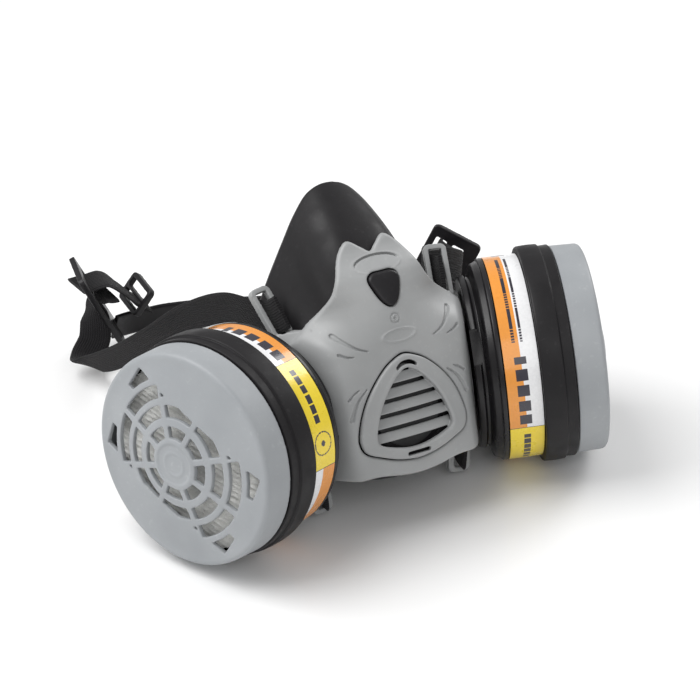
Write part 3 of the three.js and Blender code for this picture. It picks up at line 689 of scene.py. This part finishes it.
def build_shell():
    outline = mirrored_loop(SHELL_HALF, 240)
    valve_hole = valve_outline(0.4)
    plug_hole = plug_outline(0.4)

    def front(x, z):
        edge = np.minimum(outline_distance(x, z, outline), -outline_distance(x, z, valve_hole))
        edge = np.minimum(edge, -outline_distance(x, z, plug_hole) + 0.3)
        return shell_front(x, z) + rounding(edge, 1.1)

    shell = sheet("shell_moulding", front, shell_back,
                  np.arange(-46, 46.01, 0.4), np.arange(8, 116.01, 0.4))
    combine(shell, [through_front(outline, 0, 60)], "INTERSECT")
    holes = [through_front(valve_hole), through_front(plug_hole)]
    for name, sign in SIDES.items():
        place = FILTERS[name]
        combine(shell, [rod("tool", PORT_HOLE, -60, 60, 96, place)])
        combine(shell, [tube("tool", PORT_INNER, PORT_OUTER, SHELL_BACK, SHELL_FACE, 96, place)], "UNION")
        holes.append(rod("tool", FILTER_CLEARANCE, SHELL_FACE + 0.02, 40, 96, place))
        arms = [hull("tool", np.array(points) * (sign, 1, 1)) for points in (WING, FOOT)]
        for spec in (UPPER_LUG, LOWER_LUG):
            ring, hole = lug_tools(*spec, sign)
            arms.append(ring)
            holes.append(hole)
        combine(shell, arms, "UNION")
    combine(shell, holes)
    moulded(shell, 0.36, 2)
    emboss(shell, shell_front, shell_relief)
    return dress(shell, "mask", "shell_grey", ["front_shell"])


def build_valve_cover():
    outline = valve_outline(0)
    window = valve_outline(0, half=WINDOW_HALF)

    def front(x, z):
        edge = outline_distance(x, z, outline)
        rim = -outline_distance(x, z, window)
        fall = rounding(edge, 1.0) + rounding(rim, 0.8)
        return shell_front(x, z) - 1.0 + fall - 0.2 * np.exp(-((rim - 1.2) / 0.7) ** 2)

    def back(x, z):
        return shell_front(x, z) + 1.2

    cover = sheet("valve_grille", front, back, np.arange(-27, 27.01, 0.35), np.arange(16, 66.01, 0.35))
    combine(cover, [through_front(outline)], "INTERSECT")
    skirt = through_front(valve_outline(1.8, half=WINDOW_HALF), 39.9, 42)
    combine(cover, [skirt], "UNION")
    combine(cover, [through_front(window, 20, 70)])
    for height in (51.4, 45.6, 39.8, 34, 28.2):
        blade = louvre(height)
        combine(blade, [through_front(valve_outline(1, half=WINDOW_HALF), 30, 60)], "INTERSECT")
        combine(cover, [blade], "UNION")
    top = [(5.6 * math.sin(a), 59.7 - 2.4 * (1 - math.cos(a)) * 2) for a in np.linspace(-1, 1, 9)]
    slot = [(x, z - 1.8) for x, z in top] + top[::-1]
    foot = [(-5.2, 20.7), (5.2, 20.7), (5.2, 22.3), (-5.2, 22.3)]
    combine(cover, [through_front(slot), through_front(foot)])
    moulded(cover, 0.3, 2)
    return dress(cover, "valve_cover", "shell_grey", ["valve_cover"])


def louvre(height):
    """A slanted blade, forward at its lower edge and bowed a little across."""
    xs = np.linspace(-22, 22, 45)
    front = float(shell_ridge(height)) + 0.4
    section = filleted([(0, 0, 0.35), (0.9, -0.3, 0.35), (2.7, 3.4, 0.3), (1.8, 3.8, 0.3)], 3)
    points = [(x, front + y + x * x / 260, height + z) for x in xs for y, z in section]
    n = len(section)
    faces = grid_faces(len(xs), n, wrap=True)
    faces += [tuple(range(n)), tuple(range((len(xs) - 1) * n, len(xs) * n))[::-1]]
    return closed_mesh("tool", points, faces, MASK)


def build_plug():
    outline = plug_outline(0)

    def front(x, z):
        fall = rounding(outline_distance(x, z, outline), 0.9)
        return shell_front(x, z) - 0.9 + fall

    plug = sheet("shell_plug_cap", front, lambda x, z: shell_front(x, z) + 1.9,
                 np.arange(-8, 8.01, 0.25), np.arange(80, 98.01, 0.25))
    combine(plug, [through_front(outline)], "INTERSECT")
    moulded(plug, 0.22, 1)
    return dress(plug, "mask", "black_plastic", ["shell_plug"])


# ---- facepiece ----
PLATE = [(0, -36, 76), (7, -36, 75), (13, -36, 70), (17, -36, 62), (20, -36, 52), (20, -36, 42),
         (18, -36, 30), (11, -36, 20), (0, -36, 17)]
SHOULDER = [(0, -34.5, 107.3), (16, -33, 104.5), (24, -27.4, 92), (29.5, -27, 77), (39, -32.5, 58),
            (39.5, -34, 42), (37.5, -34.5, 24), (24, -34.5, 8), (0, -35, 4)]
EDGE = [(0, 0.6, 131.5), (8, 0.5, 129.4), (15.5, 1, 122), (22, 3, 112), (33.5, 7.6, 92), (43, 15, 68),
        (47, 19.4, 46),
        (42.5, 21, 27.5), (26, 20.6, 14.2), (0, 19, 10)]
LIP = [(0, 0), (3.2, 1.2), (4.6, 4.4), (2.4, 9.2)]
FACE_WALL = 2.2
LIP_WALL = 1.5


def build_facepiece():
    samples = 200
    plate, shoulder, edge = (mirrored_loop(half, samples) for half in (PLATE, SHOULDER, EDGE))
    body_steps = 30
    rows = [(1 - t) ** 2 * plate + 2 * t * (1 - t) * shoulder + t * t * edge
            for t in np.linspace(0, 1, body_steps + 1)]
    inwards = np.stack([-edge[:, 0], np.zeros(samples), 62 - edge[:, 2]], -1)
    inwards /= np.linalg.norm(inwards, axis=1)[:, None]
    for back, into in loop_curve(LIP, 18, closed=False)[1:]:
        rows.append(edge + inwards * into + np.array([0, back, 0]))
    rows = np.array(rows)
    across = np.roll(rows, -1, axis=1) - np.roll(rows, 1, axis=1)
    along = np.gradient(rows, axis=0)
    normal = np.cross(across, along)
    normal /= np.maximum(np.linalg.norm(normal, axis=2)[..., None], 1e-9)
    k = np.arange(len(rows))
    wall = np.interp(k, [0, body_steps - 4, body_steps + 5, len(rows) - 1],
                     [FACE_WALL, FACE_WALL, LIP_WALL, LIP_WALL])
    inner = rows - normal * wall[:, None, None]
    rings = np.vstack([rows, inner[::-1]])
    points = rings.reshape(-1, 3).tolist()
    faces = grid_faces(len(rings), samples, wrap=True)
    for ring, height in ((0, rings[0][0][1]), (len(rings) - 1, rings[-1][0][1])):
        centre = len(points)
        points.append([0, height, VALVE_HEIGHT])
        for i in range(samples):
            faces.append((centre, ring * samples + i, ring * samples + (i + 1) % samples))
    face = closed_mesh("facepiece_moulding", points, faces, MASK)
    holes = [rod("tool", 17 + GAP, 20, 60, 64, VALVE)]
    for name in SIDES:
        place = FILTERS[name]
        combine(face, [rod("tool", BOSS_RADIUS, BOSS_REAR, SHELL_BACK + 1, 72, place)], "UNION")
        holes += [rod("tool", BOSS_CLEARANCE, SHELL_BACK - GAP, 20, 72, place),
                  rod("tool", AIR_BORE, -48, 20, 64, place),
                  rod("tool", RECESS_RADIUS, -60, RECESS_FACE, 72, place)]
    combine(face, holes)
    moulded(face, 0.6, 3)
    return dress(face, "mask", "black_elastomer", ["face_seal"])


# ---- valves ----
def build_exhalation():
    seat = tube("valve_seat", 12, 17, 33.4, 36.3, 96, VALVE)
    extra = [tube("tool", 12, 19.2, 31.6, 33.4, 96, VALVE), rod("tool", 3, 32.4, 34.4, 32, VALVE)]
    extra += [block("tool", (0, 0, 33.4), (26, 2, 2), VALVE, turn) for turn in (0, 60, 120)]
    combine(seat, extra, "UNION")
    smooth(seat, 35)
    dress(seat, "mask", "black_plastic", ["exhalation_seat"])
    profile = filleted([(0, 36.7), (14.5, 36.7, 0.2), (14.5, 37.3, 0.2), (12.6, 37.4, 0.3), (0, 37.1)])
    flap = smooth(lathe("exhalation_disc", profile, 96, VALVE), 35)
    dress(flap, "exhalation_flap", "flap_rubber", ["exhalation_flap"])


# ---- filter cartridges ----
CAP_RADIUS = 44.5
CAP_WALL = 2.4
CAP_HUB = 9.3
CAP_PLATE = 2.2
CAP_RISE = 4.5
CAP_RIM = 39.2
WEB_RINGS = [(10.6, 15.3), (18.6, 23.6), (26.3, 31.6)]
WEB_SPOKE = 1.25
WEB_HALF_WIDTH = 21.4
WEB_LEAN = 22
END_WINDOW = [(27.5, 20.5), (30.5, 15.5), (32.6, 10.3), (35.3, 10.5), (34.2, 20.8)]


def dome(r):
    return CAP_FRONT + CAP_RISE * (1 - (r - CAP_HUB) / (CAP_RIM - CAP_HUB))


def sector(inner, outer, middle, half_angle, spoke=WEB_SPOKE, steps=12):
    points = []
    for r, order in ((inner, 1), (outer, -1)):
        half = half_angle - spoke / r
        for t in np.linspace(-1, 1, steps)[::order]:
            points.append((r * math.cos(middle + t * half), r * math.sin(middle + t * half)))
    return points


def clipped(outline, limit):
    """The part of a convex-ish outline with |y| under limit."""
    for sign in (1, -1):
        kept = []
        for (ax, ay), (bx, by) in zip(outline, outline[1:] + outline[:1]):
            a_in, b_in = sign * ay <= limit, sign * by <= limit
            if a_in:
                kept.append((ax, ay))
            if a_in != b_in:
                t = (sign * limit - ay) / (by - ay)
                kept.append((ax + t * (bx - ax), sign * limit))
        outline = kept
    return outline


def cap_windows(place):
    step = math.pi / 4
    outlines = []
    for k, (inner, outer) in enumerate(WEB_RINGS):
        for i in range(8):
            middle = (i + 0.5) * step
            if k < 2 or abs(math.sin(middle)) < 0.5:
                outlines.append(sector(inner, outer, middle, step / 2))
    for sign in (-1, 1):
        for side in (-1, 1):
            outlines.append([(sign * x, side * y) for x, y in END_WINDOW])
            x, y = sign * 18.9, side * 20.4
            outlines.append([(x - 1.6, y), (x + 1.6, y), (x, y - side * 1.5)])
    return [prism("tool", clipped(o, WEB_HALF_WIDTH), 12, 40, place) for o in outlines]


def build_cap(name, sign):
    place = FILTERS[name]
    turned = place @ Matrix.Rotation(math.radians(sign * WEB_LEAN), 4, "Z")
    loop = [
        (0, dome(CAP_HUB) - CAP_PLATE), (CAP_HUB, dome(CAP_HUB) - CAP_PLATE),
        (CAP_RIM, CAP_FRONT - CAP_PLATE),
        (CAP_RADIUS - CAP_WALL, CAP_FRONT - 3.4), (CAP_RADIUS - CAP_WALL, CAP_REAR + GAP),
        (CAP_RADIUS, CAP_REAR + GAP, 0.4), (CAP_RADIUS - 0.5, CAP_FRONT, 4.2), (CAP_RIM, CAP_FRONT, 2.0),
        (CAP_HUB + 1.6, dome(CAP_HUB + 1.6), 0.8), (CAP_HUB, dome(CAP_HUB) + 0.25, 0.3),
        (CAP_HUB - 0.7, dome(CAP_HUB) + 0.25, 0.3), (CAP_HUB - 1.1, dome(CAP_HUB) - 0.15, 0.3),
        (5.6, dome(CAP_HUB) - 0.15, 0.2), (5.2, dome(CAP_HUB) + 0.1, 0.2), (4.4, dome(CAP_HUB) + 0.1, 0.2),
        (4, dome(CAP_HUB) - 0.15, 0.2), (0, dome(CAP_HUB) - 0.15)]
    cap = lathe(f"cap_moulding_{name}", filleted(loop, 8), 200, place)
    combine(cap, cap_windows(turned))
    moulded(cap, 0.36, 3)
    return dress(cap, f"cap_{name}", "cap_grey", [f"filter_cap_{name}"])


def build_pad(name, sign):
    """Pleated paper: sharp folds along one direction, cut to a disc."""
    radius, top, depth, pitch = 38.6, 23, 3.4, 2.3
    place = FILTERS[name] @ Matrix.Rotation(math.radians(sign * 12), 4, "Z")
    across = np.arange(-radius + 0.02, radius, pitch / 8)
    along = np.linspace(-1, 1, 61)
    upper, lower = [], []
    for w in across:
        reach = math.sqrt(radius ** 2 - w ** 2)
        for t in along:
            u = t * reach
            wander = 0.3 * math.sin(u * 0.21 + w * 0.4) + 0.18 * math.sin(u * 0.63 + w * 1.7)
            fold = abs(((w + wander) / pitch) % 1 - 0.5) * 2
            upper.append((u, w, top - depth * fold ** 1.15))
            lower.append((u, w, 9.4))
    n = len(along)
    faces = grid_faces(len(across), n) + grid_faces(len(across), n, start=len(upper))
    rim = list(range(n)) + [j * n + n - 1 for j in range(1, len(across))]
    rim += [(len(across) - 1) * n + i for i in range(n - 2, -1, -1)]
    rim += [j * n for j in range(len(across) - 2, 0, -1)]
    faces += [(a, b, b + len(upper), a + len(upper)) for a, b in zip(rim, rim[1:] + rim[:1])]
    pad = closed_mesh(f"pleated_media_{name}", upper + lower, faces, place)
    smooth(pad, 40)
    return dress(pad, f"filter_{name}", "white_media", [f"pleated_pad_{name}"])


def build_ring(name):
    loop = [(39.6, 0, 0.3), (RING_RADIUS, 0, 1.1), (RING_RADIUS + 0.25, 4.6, 3), (RING_RADIUS, 9.2, 1.0),
            (RING_RADIUS - 0.9, 9.5, 0.3), (RING_RADIUS - 0.75, CAP_REAR, 0.5), (41.4, CAP_REAR, 0.3),
            (41.4, 9, 0.3), (39.6, 9, 0.3)]
    ring = smooth(lathe(f"retainer_band_{name}", filleted(loop, 5), 220, FILTERS[name]), 50)
    return dress(ring, f"filter_{name}", "black_elastomer", [f"retainer_ring_{name}"])


def label_part(angle, height, start):
    """Which print covers a spot: degrees on from the start of the coloured block, share of the height."""
    turn = (angle - start) % 360
    if turn < 61.5:
        return 3 if label_ink_block(turn, height) else 2
    if label_ink_text(turn, height):
        return 3
    return 1 if height < 0.5 else 0


def label_ink_block(turn, height):
    """A plain ring and a plain dashed bar on the coloured block."""
    ring = math.hypot((turn - 14) * 0.755, (height - 0.47) * 13.9)
    bar = 25 < turn < 56 and 0.4 < height < 0.6 and (turn - 25) % 5.6 < 4.5
    return 4.4 < ring < 4.9 or ring < 1.2 or bar or turn < 0.5 or turn > 61


def label_ink_text(turn, height):
    """Plain bars where the film carries its printed data."""
    large = 64 < turn < 104 and 0.3 < height < 0.66 and (turn - 64) % 9 < 6.4
    lines = 112 < turn < 176 and (0.3 < height < 0.4 or 0.56 < height < 0.63) and (turn * 7) % 11 < 9.4
    second = 184 < turn < 232 and 0.28 < height < 0.68 and (turn - 184) % 10 < 6.6
    small = 238 < turn < 268 and any(abs(height - h) < 0.035 for h in (0.24, 0.38, 0.62, 0.76))
    return large or lines or second or small


def build_label(name, start, direction):
    """A printed film band; the print runs on from start, in the direction given."""
    inner, outer = 42.75, 43.3
    turns, bands = 900, 40
    heights = np.linspace(LABEL_REAR + 0.1, -GAP, bands + 1)
    points = []
    for radius in (outer, inner):
        for z in heights:
            for i in range(turns):
                a = 2 * math.pi * i / turns
                points.append((radius * math.cos(a), radius * math.sin(a), z))
    faces = grid_faces(bands + 1, turns, wrap=True)
    outside = len(faces)
    offset = (bands + 1) * turns
    faces += grid_faces(bands + 1, turns, wrap=True, start=offset)
    for row in (0, bands):
        for i in range(turns):
            a, b = row * turns + i, row * turns + (i + 1) % turns
            faces.append((a, b, b + offset, a + offset))
    band = closed_mesh(f"label_film_{name}", points, faces, FILTERS[name])
    for material in LABEL_MATERIALS:
        band.data.materials.append(material)
    index = []
    for k in range(len(faces)):
        if k >= outside:
            index.append(4)
            continue
        angle = (k % turns + 0.5) * 360 / turns
        index.append(label_part(direction * angle, (k // turns + 0.5) / bands, start))
    band.data.polygons.foreach_set("material_index", index)
    smooth(band, 50)
    return dress(band, f"filter_{name}", "label_print", [f"label_band_{name}"], material=False)


def build_canister(name):
    body = tube(f"canister_wall_{name}", 40.4, 42.4, LABEL_REAR, -GAP, 160, FILTERS[name])
    smooth(body, 40)
    dress(body, f"filter_{name}", "black_plastic", [f"canister_body_{name}"], "gloss_black")
    loop = [(20.4, COLLAR_REAR, 0.4), (36.5, COLLAR_REAR, 0.7), (37.2, -23.4, 0.5), (35.8, -22.8, 0.4),
            (35.8, -21.4, 0.4), (41.2, BASE_REAR, 0.8), (42.2, -17.2, 0.5), (43.2, -16.8, 0.4),
            (43.3, LABEL_REAR - GAP, 0.3), (14.2, LABEL_REAR - GAP), (14.2, BASE_REAR + 2),
            (20.4, BASE_REAR + 2)]
    base = lathe(f"base_moulding_{name}", filleted(loop, 4), 200, FILTERS[name])
    notches = [block("tool", (37.5, 0, -25), (4.4, 15, 6), FILTERS[name], turn) for turn in (20, 140, 260)]
    combine(base, notches)
    smooth(base, 32)
    dress(base, f"filter_{name}", "black_plastic", [f"filter_base_{name}"], "gloss_black")
    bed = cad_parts[f"carbon_bed_{name}"].data.materials
    bed.clear()
    bed.append(MATERIALS["carbon"])


def build_connector(name):
    place = FILTERS[name]
    body = tube(f"connector_moulding_{name}", 13.6, 16.4, -35, -20, 96, place)
    extra = [tube("tool", 13.6, 21.4, -36.6, -35, 96, place), tube("tool", 11.6, 14, -33.6, -32, 96, place),
             tube("tool", 15.6, 19.6, SHELL_FACE - 2.6, SHELL_FACE + 0.6, 96, place)]
    extra += [block("tool", (0, 0, -32.8), (26, 2, 1.6), place, turn) for turn in (45, 135)]
    extra += [block("tool", (17.4, 0, -23.5), (3.6, 9, 2), place, turn) for turn in (0, 120, 240)]
    combine(body, extra, "UNION")
    smooth(body, 35)
    dress(body, "mask", "black_plastic", [f"inhalation_connector_{name}"])
    profile = filleted([(0, -34.6), (12.9, -34.6, 0.2), (12.9, -33.95, 0.2), (11.4, -33.9, 0.2), (0, -34.2)])
    flap = smooth(lathe(f"inhalation_disc_{name}", profile, 96, place), 35)
    dress(flap, f"inhalation_flap_{name}", "flap_rubber", [f"inhalation_flap_{name}"])


# ---- harness ----
HEAD_STRAP_LEFT = [
    (-37.2, 16.6, 86.3, -0.2, 0.69, 0.7), (-38.6, 22.2, 81.7, -0.2, 0.69, 0.7),
    (-41.4, 32, 78.6, -0.26, 0.6, 0.75), (-46, 47, 76, -0.34, 0.4, 0.85), (-53, 68, 64, -0.55, 0.3, 0.76),
    (-61, 93, 43, -0.75, 0.2, 0.6), (-68, 115, 25, -0.75, 0.3, 0.5), (-73.5, 133, 12.5, -0.75, 0.4, 0.5),
    (-75.5, 142, 8.4, -0.85, 0.4, 0.3), (-73, 148, 8.6, -0.9, 0.45, 0.1), (-67.5, 151, 14.5, -0.88, 0.47, 0),
    (-65.5, 154, 22, -0.7, 0.7, 0), (-63.5, 159, 28.6, 0.1, 1, 0), (-60, 160, 30.6, 0.17, 0.98, 0.08),
    (-54, 161, 30, 0.17, 0.98, 0.08)]
HEAD_STRAP_RIGHT = [
    (37.2, 16.6, 86.3, 0.2, 0.69, 0.7), (38.6, 22.2, 81.7, 0.2, 0.69, 0.7),
    (38.8, 32, 79.4, 0.22, 0.5, 0.84), (41.5, 39, 78.4, 0.24, 0.44, 0.87), (49, 43, 75.6, 0.24, 0.44, 0.87),
    (59, 46.5, 70.5, 0.24, 0.44, 0.87), (69, 54, 63, 0.24, 0.3, 0.92), (75, 70, 55, 0.3, 0, 0.95),
    (79.8, 94.2, 49.1, 0.32, -0.25, 0.91), (83.4, 98.6, 48.4, 0.32, -0.25, 0.91)]
STRAP_TAIL_LEFT = [
    (-71.5, 159, 39.4, 0.17, 0.98, 0.08), (-66.8, 160, 39, 0.17, 0.98, 0.08),
    (-57, 162, 38, 0.12, 0.99, 0.05),
    (-48, 165, 29.4, 0.05, 1, 0), (-40.3, 168.2, 20.4, 0, 0.99, 0.1), (-34, 169, 15.4, 0, 0.99, 0.1)]
CRADLE_BAND = [
    (-54, 160, 13, 0.2, 0, 1), (-42, 167, 9, 0, 0, 1), (-24, 168, 8, 0, 0, 1), (0, 161, 8, 0, 0, 1),
    (26, 148, 9, 0, 0, 1), (50, 128, 13, 0.15, 0.1, 0.98), (68, 108, 24, 0.4, 0.2, 0.9),
    (78, 94, 36, 0.5, 0.2, 0.84)]
NECK_STRAP = [
    (33, -13, 12.2, 0.1, 0.26, 0.96), (33.7, -6.4, 11.9, 0.1, 0.26, 0.96), (37, 3, 10.4, 0.05, 0.1, 1),
    (42, 12, 8, 0, 0, 1), (47.5, 25, 7.2, 0, 0, 1), (49.5, 45, 7.2, 0, 0, 1), (44, 68, 7.2, 0, 0, 1),
    (28, 83, 7.2, 0, 0, 1), (16.5, 87, 7.2, 0, 0, 1)]
LEFT_PLATE = {"center": (-60.5, 160, 26), "along": (0.177, 0.981, 0.085), "facing": (-0.883, 0.196, -0.427),
              "size": (48, 24, 2.6), "slots": [(14.5, 0), (4.4, 0)]}
RIGHT_PLATE = {"center": (82.5, 91.5, 43), "along": (0.32, -0.25, 0.914), "facing": (0.66, 0.74, -0.03),
               "size": (24, 36, 2.6), "slots": [(6, 4), (-2.5, 4)]}


def ribbon(name, stations, width, thickness, steps, columns=16):
    """Flat webbing along its stations, with rounded selvedges and its own band coordinates."""
    stations = np.asarray(stations, float)
    middle = loop_curve(stations[:, :3], steps, closed=False)
    across = loop_curve(stations[:, 3:], steps, closed=False)
    along = np.gradient(middle, axis=0)
    along /= np.linalg.norm(along, axis=1)[:, None]
    across -= (across * along).sum(1)[:, None] * along
    across /= np.linalg.norm(across, axis=1)[:, None]
    normal = np.cross(along, across)
    length = np.concatenate([[0], np.cumsum(np.linalg.norm(np.diff(middle, axis=0), axis=1))])
    face = np.linspace(-1, 1, columns + 1)
    half = thickness / 2 * (1 - np.abs(face) ** 14 * 0.75)
    section = [(f * width / 2, h) for f, h in zip(face, half)]
    section += [(f * width / 2, -h) for f, h in zip(face[::-1], half[::-1])]
    points, band = [], []
    for k in range(steps + 1):
        for u, h in section:
            points.append(middle[k] + across[k] * u + normal[k] * h)
            band.append((u, length[k], h))
    n = len(section)
    faces = grid_faces(steps + 1, n, wrap=True)
    faces += [tuple(range(n))[::-1], tuple(range(steps * n, (steps + 1) * n))]
    obj = closed_mesh(name, points, faces)
    attribute = obj.data.attributes.new("band", "FLOAT_VECTOR", "POINT")
    attribute.data.foreach_set("vector", np.array(band, np.float32).ravel())
    return smooth(obj, 60)


def end_plate(center, along, facing, size, slots, slot_size=(5.6, 17)):
    place = ROW @ axis_frame(facing, along, center)
    plate = rounded_plate(size, 2.6, place)
    holes = [block("tool", (x, y, 0), (*slot_size, 40), place) for x, y in slots]
    return plate, holes


def build_harness():
    for name, stations, node, width in (
            ("webbing_head_left", HEAD_STRAP_LEFT, "head_strap_left", STRAP_WIDTH),
            ("webbing_head_right", HEAD_STRAP_RIGHT, "head_strap_right", STRAP_WIDTH),
            ("webbing_tail_left", STRAP_TAIL_LEFT, "strap_tail_left", STRAP_WIDTH)):
        strap = ribbon(name, stations, width, STRAP_THICKNESS, 260)
        dress(strap, "head_harness", "webbing_black", [node])
    for name, sign in SIDES.items():
        stations = np.array(NECK_STRAP) * (sign, 1, 1, sign, 1, 1)
        strap = ribbon(f"webbing_neck_{name}", stations, 12, STRAP_THICKNESS, 220)
        dress(strap, "neck_harness", "webbing_black", [f"neck_strap_{name}"])
    cradle = ribbon("cradle_moulding", CRADLE_BAND, 12, 2.2, 200)
    left, left_holes = end_plate(**LEFT_PLATE)
    right, right_holes = end_plate(**RIGHT_PLATE)
    combine(cradle, [left, right], "UNION")
    combine(cradle, left_holes + right_holes)
    moulded(cradle, 0.45, 3)
    dress(cradle, "head_harness", "black_plastic", ["head_cradle"])
    slider, holes = end_plate((-38.6, 168.2, 22.4), (0, 0.99, 0.1), (0.8, 0.05, -0.6), (15, 20, 3),
                              [(-2.9, 0), (2.9, 0)], (4.4, 15.8))
    slider.name = "slider_moulding_left"
    combine(slider, holes)
    moulded(slider, 0.35, 3)
    dress(slider, "head_harness", "black_plastic", ["strap_slider_left"])
    socket = block("buckle_socket", (-7.6, 88, 7.4), (15.6, 6.4, 14), ROW)
    combine(socket, [block("tool", (-2, 88, 7.4), (13, 4, 10), ROW)])
    moulded(socket, 0.35, 3)
    dress(socket, "neck_harness", "black_plastic", ["neck_buckle_socket"])
    tongue = block("buckle_tongue", (11.4, 88, 7.4), (9, 6, 13.6), ROW)
    combine(tongue, [block("tool", (3, 88, 7.4), (10, 3, 9), ROW)], "UNION")
    moulded(tongue, 0.35, 3)
    dress(tongue, "neck_harness", "black_plastic", ["neck_buckle_tongue"])


# ---- floor and light ----
def lamp(name, location, size, power):
    light = bpy.data.lights.new(name, "AREA")
    light.size = size
    light.energy = power
    obj = bpy.data.objects.new(name, light)
    obj.location = location
    obj.rotation_euler = (Vector((0, 0, 0.04)) - Vector(location)).to_track_quat("-Z", "Y").to_euler()
    bpy.context.scene.collection.objects.link(obj)


def build_stage():
    mesh = bpy.data.meshes.new("floor")
    mesh.from_pydata([(-6, -6, 0), (6, -6, 0), (6, 6, 0), (-6, 6, 0)], [], [(0, 1, 2, 3)])
    floor = bpy.data.objects.new("floor", mesh)
    bpy.context.scene.collection.objects.link(floor)
    s = Shader("white_floor", Coat_Weight=0.25, Coat_Roughness=0.12)
    s.surface.inputs["Base Color"].default_value = (0.9, 0.9, 0.9, 1)
    s.surface.inputs["Roughness"].default_value = 0.6
    floor.data.materials.append(s.material)
    world = bpy.data.worlds.new("studio")
    bpy.context.scene.world = world
    world.use_nodes = True
    world.node_tree.nodes["Background"].inputs["Color"].default_value = (1, 1, 1, 1)
    world.node_tree.nodes["Background"].inputs["Strength"].default_value = 0.45
    lamp("key", (-0.7, 0.25, 1.1), 1.1, 17)
    lamp("front_fill", (-0.2, -1.3, 0.9), 0.9, 4)
    lamp("right_rim", (1.0, 0.2, 0.8), 0.5, 5)
    bpy.context.scene.view_settings.view_transform = "Standard"


build_shell()
build_valve_cover()
build_plug()
build_facepiece()
build_exhalation()
for side, side_sign in SIDES.items():
    build_cap(side, side_sign)
    build_pad(side, side_sign)
    build_ring(side)
    build_canister(side)
    build_connector(side)
build_label("left", 0, 1)
build_label("right", -254, -1)
build_harness()
build_stage()
